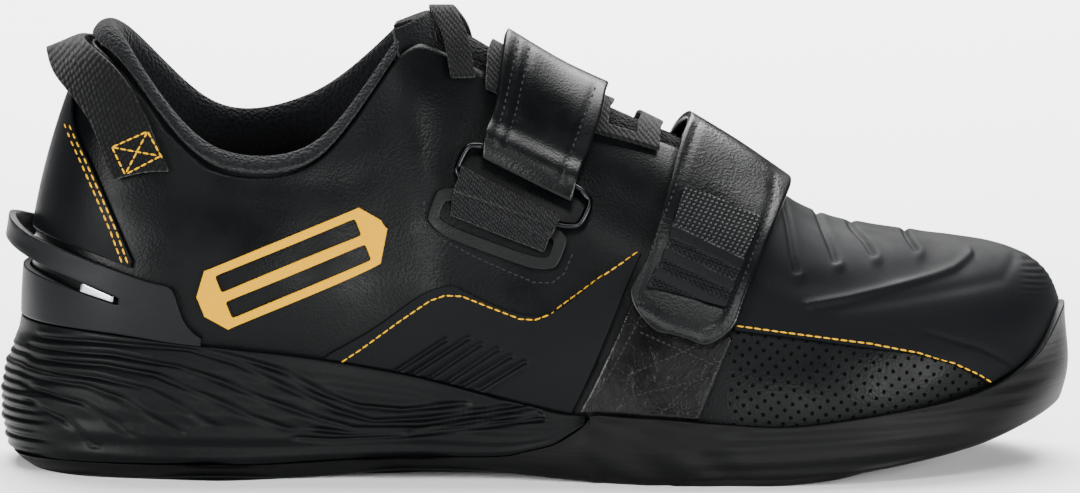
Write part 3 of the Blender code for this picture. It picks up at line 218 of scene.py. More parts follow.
def subdivide(piece, level, hold):
    """Smooths a piece by subdivision. Where hold is set, it still passes through its own points."""
    pick(piece)
    smooth = piece.modifiers.new("smooth", "SUBSURF")
    smooth.levels = smooth.render_levels = level
    count = len(piece.data.vertices)
    aim = np.empty(count * 3)
    piece.data.vertices.foreach_get("co", aim)
    now = aim.copy()
    for _ in range(HOLD_TURNS if hold else 0):
        graph = bpy.context.evaluated_depsgraph_get()
        made = piece.evaluated_get(graph).to_mesh()
        reached = np.empty(len(made.vertices) * 3)
        made.vertices.foreach_get("co", reached)
        piece.evaluated_get(graph).to_mesh_clear()
        now += HOLD_SHARE * (aim - reached[:count * 3])
        piece.data.vertices.foreach_set("co", now)
        piece.data.update()
    bpy.ops.object.modifier_apply(modifier="smooth")


WELD = 2e-6
QUAD_FACE = math.radians(50)
QUAD_SHAPE = math.radians(60)
CREASE = 0.8


def dress(node, paint, level, sharp=32.0):
    """A smooth copy of a CAD node's mesh: joined, turned to quads, creased and subdivided."""
    piece = bpy.data.objects.new(node + "_skin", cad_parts[node].data.copy())
    bpy.context.scene.collection.objects.link(piece)
    pick(piece)
    bpy.ops.object.mode_set(mode="EDIT")
    bpy.ops.mesh.select_mode(type="EDGE")
    bpy.ops.mesh.select_all(action="SELECT")
    bpy.ops.mesh.remove_doubles(threshold=WELD)
    bpy.ops.mesh.tris_convert_to_quads(face_threshold=QUAD_FACE, shape_threshold=QUAD_SHAPE)
    bpy.ops.mesh.select_all(action="DESELECT")
    bpy.ops.mesh.edges_select_sharp(sharpness=math.radians(sharp))
    bpy.ops.transform.edge_crease(value=CREASE)
    bpy.ops.object.mode_set(mode="OBJECT")
    subdivide(piece, level, True)
    bpy.ops.object.shade_smooth()
    piece.data.materials.clear()
    piece.data.materials.append(paint)
    for polygon in piece.data.polygons:
        polygon.material_index = 0
    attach(piece, "root")
    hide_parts(node)
    return piece


def mesh_arrays(piece):
    """The points and normals of a piece, as arrays."""
    count = len(piece.data.vertices)
    points = np.empty(count * 3)
    normals = np.empty(count * 3)
    piece.data.vertices.foreach_get("co", points)
    piece.data.vertices.foreach_get("normal", normals)
    return points.reshape(-1, 3), normals.reshape(-1, 3)


def push(piece, offsets):
    """Moves each point along its normal by its own distance."""
    points, normals = mesh_arrays(piece)
    points += normals * offsets[:, None]
    piece.data.vertices.foreach_set("co", points.reshape(-1))
    piece.data.update()


def soft_step(values, low, high):
    """Rises smoothly from 0 to 1 between two values."""
    t = np.clip((values - low) / (high - low), 0.0, 1.0)
    return t * t * (3 - 2 * t)


def beside(across, up, path):
    """How far points lie from a line of (x, z) stops."""
    best = np.full(len(across), 1.0)
    for start, end in zip(path, path[1:]):
        run, rise = end[0] - start[0], end[1] - start[1]
        ahead = (across - start[0]) * run + (up - start[1]) * rise
        share = np.clip(ahead / (run**2 + rise**2), 0, 1)
        away = np.hypot(across - start[0] - share * run, up - start[1] - share * rise)
        best = np.minimum(best, away)
    return best


def pressed(points, normals, creases, facing=0.1):
    """Soft troughs and ridges, each a line of stops, its half width and its height."""
    x, y, z = points.T
    outward = soft_step(normals[:, 1] * np.sign(y), facing, facing + 0.4)
    total = np.zeros(len(points))
    for path, width, height in creases:
        total += height * np.exp(-((beside(x, z, path) / width) ** 2))
    return total * outward


def relax(piece, chosen, turns):
    """Evens out the chosen points of a piece."""
    group = piece.vertex_groups.new(name="even")
    group.add([int(i) for i in np.flatnonzero(chosen)], 1.0, "REPLACE")
    pick(piece)
    even = piece.modifiers.new("even", "SMOOTH")
    even.factor = 0.5
    even.iterations = turns
    even.vertex_group = group.name
    bpy.ops.object.modifier_apply(modifier="even")
    piece.vertex_groups.clear()


WEDGE_BLACK = (0.0013, 0.0015, 0.0017)
wedge_paint = finish("moulded_wedge_black", WEDGE_BLACK, 0.42, specular=0.07)
relief(wedge_paint, noise(wedge_paint, 900.0, 2.0), 0.00008)
vary_gloss(wedge_paint, noise(wedge_paint, 30.0), 0.36, 0.50)
midsole = dress("midsole", wedge_paint, 2)
points, normals = mesh_arrays(midsole)
relax(midsole, np.abs(normals[:, 2]) < 0.8, 26)
subdivide(midsole, 1, False)
FLOW_LINES = (
    ((-0.0473, 0.0377), (-0.0322, 0.0381), (-0.0060, 0.0366), (0.0083, 0.0325), (0.0206, 0.0263),
     (0.0349, 0.0196), (0.0452, 0.0166), (0.0606, 0.0174), (0.0760, 0.0198), (0.0862, 0.0215)),
    ((-0.0024, 0.0369), (0.0083, 0.0341), (0.0207, 0.0305), (0.0308, 0.0246), (0.0410, 0.0207),
     (0.0534, 0.0196), (0.0708, 0.0217)),
    ((-0.0500, 0.0350), (-0.0269, 0.0348), (-0.0082, 0.0318), (0.0041, 0.0275), (0.0165, 0.0223),
     (0.0297, 0.0176), (0.0399, 0.0145), (0.0581, 0.0146), (0.0802, 0.0182), (0.0901, 0.0201)),
    ((-0.0500, 0.0319), (-0.0291, 0.0317), (-0.0143, 0.0294), (0.0000, 0.0235), (0.0113, 0.0183),
     (0.0223, 0.0141)),
    ((-0.0520, 0.0295), (-0.0310, 0.0284), (-0.0165, 0.0254), (-0.0060, 0.0199), (0.0016, 0.0151)),
    ((-0.0520, 0.0270), (-0.0341, 0.0259), (-0.0238, 0.0226), (-0.0144, 0.0170), (-0.0083, 0.0135)),
    ((-0.0520, 0.0243), (-0.0352, 0.0212), (-0.0269, 0.0166), (-0.0216, 0.0125)),
    ((-0.0510, 0.0200), (-0.0400, 0.0160), (-0.0317, 0.0091)),
    ((0.0250, 0.0120), (0.0333, 0.0113), (0.0526, 0.0122), (0.0719, 0.0149), (0.0915, 0.0177)),
    ((0.0300, 0.0143), (0.0388, 0.0132), (0.0553, 0.0135), (0.0719, 0.0165), (0.0912, 0.0190)),
)
FLOW_HALF = 0.0007
FLOW_DEEP = 0.0010
FLOW_FACING = 0.2
SWELL_HALF = 0.0011
SWELL_RISE = 0.0003
RIPPLE_PITCH = 0.0026
RIPPLE_RISE = 0.00038
points, normals = mesh_arrays(midsole)
troughs = [(line, FLOW_HALF, -FLOW_DEEP) for line in FLOW_LINES]
swells = [
    ([(x, z + SWELL_HALF) for x, z in line], SWELL_HALF, SWELL_RISE) for line in FLOW_LINES
]
carved = pressed(points, normals, troughs, FLOW_FACING)
carved += pressed(points, normals, swells, FLOW_FACING)
ripples = np.cos(points[:, 2] * 2 * math.pi / RIPPLE_PITCH + points[:, 1] * 60)
round_back = soft_step(points[:, 0], -0.043, -0.052) * soft_step(points[:, 2], 0.0355, 0.0325)
upright = soft_step(np.abs(normals[:, 2]), 0.7, 0.5)
push(midsole, carved + RIPPLE_RISE * ripples * round_back * upright)

# Outsole: a thin sheet of black rubber under the wedge that becomes the whole cup of the
# forefoot and climbs the toe as a bumper. It has a soft gloss and faint mould lines.
RUBBER_BLACK = (0.0012, 0.0013, 0.0015)
rubber_paint = finish("sole_rubber_black", RUBBER_BLACK, 0.42, specular=0.08)
relief(rubber_paint, noise(rubber_paint, 1400.0, 2.0), 0.00005)
drawn_out = place_on(rubber_paint, (14.0, 14.0, 420.0), (0, math.radians(-3), 0))
mould_lines = noise(rubber_paint, 1.0, 3.0, drawn_out)
relief(rubber_paint, mould_lines, 0.0004, 0.6)
vary_gloss(rubber_paint, noise(rubber_paint, 24.0), 0.44, 0.58)
outsole = dress("outsole", rubber_paint, 3)
SWEEP_FROM = 0.096
SWEEP_TO = 0.142
FACET_RISE = 0.00035
LINE_RISE = 0.00014
BAR_PITCH = 0.0105
BAR_DEEP = 0.0011
BAR_CUT = 0.35
points, normals = mesh_arrays(outsole)
x, y, z = points.T
on_side = soft_step(np.abs(normals[:, 1]), 0.5, 0.85)
span = soft_step(x, SWEEP_FROM, SWEEP_FROM + 0.012)
span *= soft_step(x, SWEEP_TO + 0.012, SWEEP_TO - 0.006)
facets = np.sin(x * 330 + z * 420) * FACET_RISE * span * on_side
long_lines = np.sin(z * 1500 - x * 60) * LINE_RISE * on_side * soft_step(x, 0.12, 0.15)
under = soft_step(-normals[:, 2], 0.9, 0.98)
edge_room = soft_step(np.abs(y), 0.036, 0.030)
bars = np.maximum(np.sin(x * 2 * math.pi / BAR_PITCH + np.abs(y) * 90), BAR_CUT) - BAR_CUT
flat_zone = soft_step(x, -0.048, -0.042) * soft_step(x, 0.215, 0.205)
push(outsole, facets + long_lines - BAR_DEEP * bars * under * edge_room * flat_zone)


# Upper: smooth black leather with a fine grain and a soft gloss, cut as one quarter and vamp.
# The panel beside the little toe is punched with rows of small holes.
def leather(name, colour, roughness, gloss=0.12):
    """Fine pebbled grain, larger soft unevenness, and patches of more and less gloss."""
    made = finish(name, colour, roughness, specular=gloss)
    relief(made, cells(made, 1300.0), 0.00006, 0.7)
    relief(made, noise(made, 420.0, 4.0), 0.00005, 0.5)
    relief(made, noise(made, 46.0, 3.0), 0.0006, 0.25)
    vary_gloss(made, noise(made, 70.0, 4.0), roughness - 0.06, roughness + 0.10)
    return made


def axis_of(made, name):
    """One coordinate of the piece."""
    split = add_node(made, "ShaderNodeSeparateXYZ")
    link(made, place_on(made), split.inputs["Vector"])
    return split.outputs[name]


LEATHER_BLACK = (0.0013, 0.0015, 0.0017)
upper_paint = leather("grained_leather_black", LEATHER_BLACK, 0.34, 0.065)
HOLE_PITCH = 0.0027
HOLE_EDGE = (0.14, 0.20)
HOLE_DEEP = 0.0009
HOLES_FROM = 0.1430
HOLES_TOP = 0.0420
lattice = place_on(upper_paint, (1 / HOLE_PITCH, 0.0, 1 / HOLE_PITCH), (0, math.radians(38), 0))
holes = cells(upper_paint, 1.0, lattice, jumble=0.0)
zone = product(
    upper_paint,
    ramp(upper_paint, axis_of(upper_paint, "X"), HOLES_FROM, HOLES_FROM + 0.001, 0, 1),
    ramp(upper_paint, axis_of(upper_paint, "Z"), HOLES_TOP, HOLES_TOP + 0.0005, 1, 0),
)
punched = product(upper_paint, ramp(upper_paint, holes, *HOLE_EDGE, 1, 0), zone)
# Painted shade: the punched holes are tinted darker than the leather round them.
tint(upper_paint, punched, (0.0002, 0.0002, 0.0002))
relief(upper_paint, ramp(upper_paint, punched, 0, 1, 1, 0), HOLE_DEEP)
dull_holes = add_node(upper_paint, "ShaderNodeMath", operation="MAXIMUM")
rough_socket = upper_paint.node_tree.nodes["Principled BSDF"].inputs["Roughness"]
link(upper_paint, rough_socket.links[0].from_socket, dull_holes.inputs[0])
link(upper_paint, punched, dull_holes.inputs[1])
link(upper_paint, dull_holes.outputs[0], rough_socket)
upper = dress("upper", upper_paint, 2)
# Each crease of the quarter and vamp: its line, its half width and its height.
CREASES = (
    (((-0.018, 0.078), (0.004, 0.066)), 0.0050, -0.0004),
    (((-0.010, 0.070), (0.020, 0.056)), 0.0065, 0.0004),
    (((0.012, 0.079), (0.040, 0.082)), 0.0045, -0.0004),
    (((0.040, 0.088), (0.056, 0.104)), 0.0060, 0.0003),
    (((0.048, 0.070), (0.062, 0.060)), 0.0070, -0.0003),
    (((0.110, 0.078), (0.126, 0.070)), 0.0050, -0.0005),
    (((0.106, 0.066), (0.122, 0.060)), 0.0060, 0.0004),
    (((-0.032, 0.085), (-0.026, 0.060)), 0.0050, -0.0004),
    (((0.150, 0.034), (0.190, 0.028)), 0.0060, -0.0003),
)
push(upper, pressed(*mesh_arrays(upper), CREASES))


# Insole: a flat sock of black knit over thin foam, cut to the footbed and glued down. It shows
# only down inside the collar.
def knit(name, colour, pitch):
    """Small loops round deep holes, and a dusty sheen; the loops are painted lighter, which leaves
    painted shade in the holes.
    """
    made = finish(name, colour, 0.92, sheen=0.06)
    loops = cells(made, 1 / pitch)
    relief(made, loops, 0.6 * pitch, 1.0)
    # Painted shade and highlight: the loop tops are tinted lighter and the holes between them stay
    # dark.
    tint(made, ramp(made, loops, 0.1, 0.5, 0.0, 0.8), tuple(4.5 * part for part in colour))
    relief(made, noise(made, 260.0), 0.0003, 0.4)
    return made


KNIT_BLACK = (0.0009, 0.0010, 0.0011)
sock_paint = knit("sock_knit_black", KNIT_BLACK, 0.0010)
dress("insole", sock_paint, 2)

# Tongue: soft foam between two layers of black knit, sewn in at the front of the throat. It
# lies under the laces, and its top end stands up out of the collar.
tongue_paint = knit("tongue_knit_black", KNIT_BLACK, 0.0009)
tongue = dress("tongue", tongue_paint, 3)

# Collar: a roll of black spacer mesh over foam that turns over the leather's top edge and runs
# down inside as the lining.
collar_paint = knit("collar_mesh_black", (0.0013, 0.0014, 0.0016), 0.0010)
collar = dress("collar_lining", collar_paint, 3, sharp=70.0)


# Backstay: a strip of smooth matte synthetic up the back of the heel, from the clip to the
# collar, with a folded edge. Two rows of yellow thread sew it down on each side.
def matte_skin(name, colour, roughness):
    """A moulded skin: very fine pores and a faint cloudy gloss."""
    made = finish(name, colour, roughness, specular=0.05)
    relief(made, noise(made, 1600.0, 3.0), 0.00006, 0.8)
    relief(made, cells(made, 2600.0), 0.00003, 0.6)
    vary_gloss(made, noise(made, 60.0, 4.0), roughness - 0.05, roughness + 0.08)
    return made


OVERLAY_BLACK = (0.0019, 0.0022, 0.0026)
backstay_paint = matte_skin("backstay_skin_black", OVERLAY_BLACK, 0.46)
backstay = dress("backstay", backstay_paint, 3)

# Toe overlay: a moulded rubbery skin, blue-black and matte. Four thin grooves cross it behind
# the toes, each ending in a small lip; a crest and a hollow run forward along its side.
overlay_paint = matte_skin("vamp_skin_blueblack", (0.0018, 0.0022, 0.0028), 0.60)
toe_overlay = dress("toe_overlay", overlay_paint, 4)
GROOVES = (
    ((0.1590, 0.0760), (0.1593, 0.0724), (0.1601, 0.0687), (0.1611, 0.0608), (0.1621, 0.0572)),
    ((0.1685, 0.0705), (0.1693, 0.0684), (0.1713, 0.0639), (0.1732, 0.0590)),
    ((0.1775, 0.0672), (0.1783, 0.0660), (0.1818, 0.0631), (0.1840, 0.0600)),
    ((0.1935, 0.0640), (0.1942, 0.0630), (0.1963, 0.0606)),
)
CREST = (
    (0.1647, 0.0488), (0.1759, 0.0504), (0.1880, 0.0525), (0.2003, 0.0548), (0.2061, 0.0561),
    (0.2092, 0.0576), (0.2112, 0.0588),
)
HOLLOW = ((0.1500, 0.0590), (0.1600, 0.0545), (0.1759, 0.0532), (0.1880, 0.0555), (0.2003, 0.0580))
LOW_STEP = (
    (0.1738, 0.0460), (0.1904, 0.0425), (0.1988, 0.0406), (0.2129, 0.0359), (0.2208, 0.0315),
    (0.2245, 0.0277),
)
HIGH_STEP = (
    (0.1738, 0.0478), (0.1887, 0.0493), (0.2040, 0.0511), (0.2203, 0.0528), (0.2238, 0.0564),
)
RIB_BAND = ((0.1492, 0.0562), (0.1573, 0.0523), (0.1647, 0.0493))
GROOVE_DEEP = 0.0010
GROOVE_HALF = 0.00055
LIP_RISE = 0.0006
RIDGE_RISE = 0.0008
RIB_RISE = 0.0004
RIB_PITCH = 0.0014
LOW_RING_PITCH = 0.0016
RING_RISE = 0.00007
points, normals = mesh_arrays(toe_overlay)
x, _, z = points.T
outside = soft_step(normals[:, 2] + np.abs(normals[:, 1]), 0.15, 0.45)
shape = np.zeros(len(points))
for groove in GROOVES:
    away = beside(x, z, groove)
    shape -= GROOVE_DEEP * np.exp(-((away / GROOVE_HALF) ** 2))
    shape += 0.00012 * np.exp(-((beside(x - 0.0016, z, groove) / 0.0012) ** 2))
    lip = np.hypot(x - groove[-1][0] - 0.0007, z - groove[-1][1] + 0.0010)
    shape += LIP_RISE * np.exp(-((lip / 0.0013) ** 2))
shape += RIDGE_RISE * np.exp(-((beside(x, z, CREST) / 0.0010) ** 2))
shape -= 0.0005 * np.exp(-((beside(x, z, HOLLOW) / 0.0032) ** 2))
low_step = np.exp(-((beside(x, z, LOW_STEP) / 0.0008) ** 2))
shape -= 0.0004 * low_step * soft_step(x, 0.180, 0.205)
shape -= 0.0003 * np.exp(-((beside(x, z, HIGH_STEP) / 0.0016) ** 2))
band = soft_step(beside(x, z, RIB_BAND), 0.0026, 0.0018)
shape += RIB_RISE * band * np.cos((x + 0.25 * z) * 2 * math.pi / RIB_PITCH)
at_tip = soft_step(x, 0.2240, 0.2285) * soft_step(z, 0.046, 0.050)
low_down = soft_step(x, 0.2190, 0.2230) * soft_step(z, 0.038, 0.034)
tip_rings = np.cos((z + 0.2 * x) * 2 * math.pi / RIB_PITCH) * at_tip
low_rings = np.cos((z + 0.9 * x) * 2 * math.pi / LOW_RING_PITCH) * low_down
push(toe_overlay, (shape + RING_RISE * (tip_rings + low_rings)) * outside)

# Side overlays: the same moulded skin on the arch, with a raised lip along the top edge and a
# fan of thin slanting grooves in the middle. Each is sewn on with yellow thread.
side_paint = matte_skin("arch_skin_black", OVERLAY_BLACK, 0.46)
ARCH_GROOVES = (
    ((0.0512, 0.0297), (0.0650, 0.0388)), ((0.0553, 0.0288), (0.0714, 0.0394)),
    ((0.0603, 0.0278), (0.0747, 0.0378)), ((0.0650, 0.0266), (0.0794, 0.0365)),
    ((0.0697, 0.0261), (0.0829, 0.0346)), ((0.0747, 0.0253), (0.0868, 0.0331)),
)
FAN_HALF = 0.0006
FAN_DEEP = 0.0009
FAN_LIP = (0.0008, 0.0004)
FAN_SHIFT = 0.0011
arch_overlays = {}
for end in ("lateral", "medial"):
    arch_overlays[end] = dress("side_overlay_" + end, side_paint, 4)
    points, normals = mesh_arrays(arch_overlays[end])
    marks = [(line, FAN_HALF, -FAN_DEEP) for line in ARCH_GROOVES]
    marks += [([(x, z - FAN_SHIFT) for x, z in line], *FAN_LIP) for line in ARCH_GROOVES]
    push(arch_overlays[end], pressed(points, normals, marks, 0.2))

# Loop panels: the base that each strap closes on, a shiny creased synthetic. The outer one runs
# down to the sole and is quilted with crossing rows of black thread; the inner one is smaller.
base_paint = leather("strap_base_black", (0.0006, 0.0006, 0.0006), 0.28, 0.13)
relief(base_paint, noise(base_paint, 200.0, 4.0, distortion=1.4), 0.0004, 0.6)
relief(base_paint, cells(base_paint, 200.0, feature="F2"), 0.0003, 0.3)
base_panels = {
    end: dress("loop_panel_" + end, base_paint, 3) for end in ("lateral", "medial")
}

# Heel clip: a stiff moulded shell round the heel, charcoal and matt, with a slot right round the
# back under a band that springs away from the heel. A bright slug fills the slot's front end.
clip_paint = finish("clip_plastic_charcoal", (0.0026, 0.0031, 0.0037), 0.42, specular=0.09)
relief(clip_paint, noise(clip_paint, 1800.0, 2.0), 0.00005, 0.8)
vary_gloss(clip_paint, noise(clip_paint, 40.0), 0.38, 0.50)
dress("heel_clip", clip_paint, 3, sharp=50.0)
slug_paint = finish("slug_bright", (0.30, 0.31, 0.33), 0.26, metallic=1.0)
relief(slug_paint, noise(slug_paint, 500.0, 4.0), 0.00005, 0.6)
for end in ("lateral", "medial"):
    dress("clip_insert_" + end, slug_paint, 3)

# Straps: two straps of glossy leather folded over at the edges. The ankle strap hangs on the
# outer ring and closes on the inner side; the forefoot strap is the other way round.
strap_paint = leather("strap_leather_black", (0.0010, 0.0012, 0.0014), 0.30, gloss=0.13)
ankle_strap = dress("ankle_strap", strap_paint, 3, sharp=60.0)
forefoot_strap = dress("forefoot_strap", strap_paint, 3, sharp=60.0)
STRAP_RIM = (
    (0.1351, 0.0953), (0.1311, 0.0859), (0.1268, 0.0758), (0.1228, 0.0666), (0.1206, 0.0606),
    (0.1178, 0.0524), (0.1189, 0.0490), (0.1258, 0.0451), (0.1359, 0.0422), (0.1403, 0.0436),
    (0.1428, 0.0465), (0.1467, 0.0557), (0.1511, 0.0652), (0.1556, 0.0752), (0.1567, 0.0813),
)
ANKLE_BACK = ((0.0853, 0.1190), (0.0811, 0.1009), (0.0783, 0.0925))
ANKLE_FRONT = ((0.1068, 0.1060), (0.1030, 0.0975), (0.0972, 0.0830))
ANKLE_PLEAT = ((0.0888, 0.1185), (0.0846, 0.1005), (0.0818, 0.0925))
ANKLE_LINES = (ANKLE_BACK, ANKLE_FRONT, ANKLE_PLEAT)
SEWN_HALF = 0.0010
SEWN_DEEP = 0.0003
for strap, lines in ((forefoot_strap, (STRAP_RIM,)), (ankle_strap, ANKLE_LINES)):
    sunk = [(line, SEWN_HALF, -SEWN_DEEP) for line in lines]
    push(strap, pressed(*mesh_arrays(strap), sunk))

# Grip panels: a moulded patch on the closing end of each strap. The upper half has a coarse
# diamond texture, and three framed windows with the same texture follow below it.
GRIP_TURN = math.radians(-25)
FIELD_FROM = 0.1180
WINDOWS = ((0.1118, 0.1148), (0.1062, 0.1090), (0.1010, 0.1036))
WINDOW_EDGE = 0.0003
FRAME_RISE = 0.0005
ANKLE_GRIP_TOP = 0.1310
KNURL_SCALE = (700.0, 0.0, 1000.0)
grip_paint = finish("grip_rubber_black", (0.0018, 0.0020, 0.0023), 0.46, specular=0.08)
diamonds = place_on(grip_paint, KNURL_SCALE, (0, GRIP_TURN, 0))
knurl = cells(grip_paint, 1.0, diamonds, metric="MANHATTAN", jumble=0.0)
rough_part = add_node(grip_paint, "ShaderNodeAttribute", attribute_name="knurled").outputs["Fac"]
pimples = product(grip_paint, ramp(grip_paint, knurl, 0.1, 0.6, 1, 0), rough_part)
relief(grip_paint, pimples, 0.0006)
# Painted highlight: the tips of the diamonds are tinted lighter than the hollows between them.
painted_tip_highlight = product(grip_paint, ramp(grip_paint, knurl, 0.1, 0.45, 0.9, 0.0), rough_part)
tint(grip_paint, painted_tip_highlight, (0.009, 0.010, 0.011))
relief(grip_paint, noise(grip_paint, 900.0), 0.0002, 0.5)
for part in ("ankle_grip", "forefoot_grip"):
    grip = dress(part, grip_paint, 4)
    points, normals = mesh_arrays(grip)
    height = points[:, 2] * math.cos(GRIP_TURN) - points[:, 0] * math.sin(GRIP_TURN)
    if part == "ankle_grip":
        height = height - height.max() + ANKLE_GRIP_TOP
    inside = soft_step(height, FIELD_FROM - WINDOW_EDGE, FIELD_FROM + WINDOW_EDGE)
    for low, high in WINDOWS:
        over = soft_step(height, low - WINDOW_EDGE, low + WINDOW_EDGE)
        below = soft_step(height, high + WINDOW_EDGE, high - WINDOW_EDGE)
        inside = np.maximum(inside, over * below)
    marked = grip.data.attributes.new("knurled", "FLOAT", "POINT")
    marked.data.foreach_set("value", inside)
    push(grip, FRAME_RISE * (1 - inside) * soft_step(np.abs(normals[:, 1]), 0.4, 0.7))


# Webbing: black ribbed elastic that comes out of each slot and runs round the lower bar of its
# ring. The outer one shows a fold line between its two plies.
def woven(name, colour, pitch, turn, rib_highlight=4.0):
    """Ribs across the band, each of them stepped by the yarns along it. The rib tops are painted
    lighter than the grooves: a painted highlight on the ribs.
    """
    made = finish(name, colour, 0.80, sheen=0.08)
    across = place_on(made, (1 / pitch, 0.0, 0.55 / pitch), (0, turn, 0))
    grid = cells(made, 1.0, across, jumble=0.25)
    relief(made, ramp(made, grid, 0.0, 0.6, 1, 0), 0.6 * pitch, 0.9)
    # Painted highlight: the rib tops are tinted lighter, and the grooves between them stay dark as
    # painted shade.
    tint(made, ramp(made, grid, 0.15, 0.45, 0.85, 0.0), tuple(rib_highlight * part for part in colour))
    relief(made, noise(made, 1300.0, 3.0), 0.0002, 0.6)
    return made


WEB_BLACK = (0.0012, 0.0013, 0.0014)
elastic_paint = woven("elastic_black", WEB_BLACK, 0.00062, math.radians(-28), 12.0)
PLY_FOLD = ((0.0672, 0.0794), (0.0970, 0.0694))
PLY_TROUGH = (0.0007, -0.0006)
PLY_RIDGE = (0.0013, 0.0004)
PLY_SHIFT = 0.0016
for end in ("lateral", "medial"):
    web = dress("webbing_" + end, elastic_paint, 4, sharp=60.0)
    ply = [(PLY_FOLD, *PLY_TROUGH), ([(x, z + PLY_SHIFT) for x, z in PLY_FOLD], *PLY_RIDGE)]
    push(web, pressed(*mesh_arrays(web), ply))

# Rings: one wide loop on each side, bent from round steel wire and plated dark. Each hangs in
# the fold of its webbing, and a strap passes through it.
ring_paint = finish("ring_plated_dark", (0.012, 0.0125, 0.0135), 0.24, metallic=1.0)
relief(ring_paint, noise(ring_paint, 700.0), 0.00003, 0.5)
for end in ("lateral", "medial"):
    dress("ring_" + end, ring_paint, 2, sharp=80.0)

# Slot frames: a pressed leather border round the slot that the elastic comes out of. It is
# glued on the quarter, and a row of black thread runs round it on the outer side.
frame_paint = leather("slot_leather_black", LEATHER_BLACK, 0.38)
slot_frames = {
    end: dress("slot_frame_" + end, frame_paint, 3, sharp=50.0)
    for end in ("lateral", "medial")
}

# Pull loop: one length of black ribbed webbing that stands off behind the heel. Each end is sewn
# down on its side of the heel with a yellow box stitch.
pull_paint = woven("pull_webbing_black", (0.0011, 0.0012, 0.0013), 0.0010, math.radians(32))
pull_loop = dress("pull_loop", pull_paint, 3, sharp=60.0)

# Laces: one flat black woven lace that crosses the throat in bars, and its last crossing, the
# tie, which stands over the top of the tongue.
lace_paint = woven("lace_woven_black", (0.0010, 0.0011, 0.0012), 0.0007, math.radians(60))
dress("laces", lace_paint, 3, sharp=60.0)
dress("lace_tie", lace_paint, 3, sharp=60.0)

# Side motif: a plain six-sided outline with a bar, moulded in one piece of yellow film and
# pressed on the quarter.
accent_paint = finish("motif_yellow", (0.40, 0.20, 0.0), 0.6, specular=0.02)
relief(accent_paint, noise(accent_paint, 500.0), 0.00006, 0.6)
vary_gloss(accent_paint, noise(accent_paint, 60.0), 0.38, 0.52)
dress("side_badge", accent_paint, 3)

# Seams: yellow thread on the backstay, arch overlays, toe overlay and pull loop, and black thread
# on the straps, the outer slot frame and the outer loop panel. Each stitch is a short swelling.
STITCH_SIDES = 6
STITCH_RINGS = ((-0.5, 0.35), (-0.3, 0.9), (0.0, 1.0), (0.3, 0.9), (0.5, 0.35))
STITCH_LIFT = 0.35
STITCH_FLAT = 0.75
LOOK_AHEAD = 0.0006
LONGEST_JUMP = 0.002
CAST_FROM = 0.2


def on_carrier(carriers, x, z, side):
    """Where a level line from the side first meets one of the pieces, and the normal there."""
    start = Vector((x, side * CAST_FROM, z))
    met = [carrier.ray_cast(start, Vector((0, -side, 0))) for carrier in carriers]
    met = [(side * place.y, place, normal) for hit, place, normal, _ in met if hit]
    return max(met, key=lambda found: found[0])[1:] if met else (None, None)


def walk(path, pitch):
    """Points an equal pitch apart along a line of (x, z), with the direction at each."""
    found = []
    spare = pitch / 2
    for (x0, z0), (x1, z1) in zip(path, path[1:]):
        length = math.hypot(x1 - x0, z1 - z0)
        run = ((x1 - x0) / length, (z1 - z0) / length)
        while spare < length:
            found.append((x0 + run[0] * spare, z0 + run[1] * spare, run))
            spare += pitch
        spare -= length
    return found


def stitches(carriers, rows, side, pitch, length, radius):
    """(centre, direction, normal, length, radius) of each stitch along rows of (x, z)."""
    found = []
    for path in rows:
        for x, z, run in walk(path, pitch):
            place, normal = on_carrier(carriers, x, z, side)
            next_x, next_z = x + run[0] * LOOK_AHEAD, z + run[1] * LOOK_AHEAD
            ahead, _ = on_carrier(carriers, next_x, next_z, side)
            if place is None or ahead is None or (ahead - place).length > LONGEST_JUMP:
                continue
            found.append((place, (ahead - place).normalized(), normal, length, radius))
    return found


def sew(name, found, paint):
    """One mesh of many stitches."""
    corners, faces = [], []
    for centre, run, normal, length, radius in found:
        across = normal.cross(run).normalized()
        first = len(corners)
        for along, swell in STITCH_RINGS:
            for i in range(STITCH_SIDES):
                turn = 2 * math.pi * i / STITCH_SIDES
                rise = STITCH_FLAT * math.sin(turn) + STITCH_LIFT
                ring = across * math.cos(turn) + normal * rise
                corners.append(centre + run * along * length + ring * radius * swell)
        for j in range(len(STITCH_RINGS) - 1):
            for i in range(STITCH_SIDES):
                a = first + j * STITCH_SIDES + i
                b = first + j * STITCH_SIDES + (i + 1) % STITCH_SIDES
                faces.append((a, b, b + STITCH_SIDES, a + STITCH_SIDES))
        last = first + (len(STITCH_RINGS) - 1) * STITCH_SIDES
        faces.append(tuple(first + i for i in reversed(range(STITCH_SIDES))))
        faces.append(tuple(last + i for i in range(STITCH_SIDES)))
    mesh = bpy.data.meshes.new(name)
    mesh.from_pydata(corners, [], faces)
    piece = bpy.data.objects.new(name, mesh)
    bpy.context.scene.collection.objects.link(piece)
    pick(piece)
    bpy.ops.object.mode_set(mode="EDIT")
    bpy.ops.mesh.select_all(action="SELECT")
    bpy.ops.mesh.normals_make_consistent(inside=False)
    bpy.ops.object.mode_set(mode="OBJECT")
    bpy.ops.object.shade_smooth()
    mesh.materials.append(paint)
    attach(piece, "root")


PLY_SCALE = (700.0, 700.0, 700.0)


def thread(name, colour, roughness):
    """Twisted thread: fine slanting plies."""
    made = finish(name, colour, roughness)
    plies = add_node(made, "ShaderNodeTexWave", Scale=1.0, Distortion=0.5)
    link(made, place_on(made, PLY_SCALE), plies.inputs["Vector"])
    relief(made, plies.outputs["Fac"], 0.0002, 0.8)
    return made


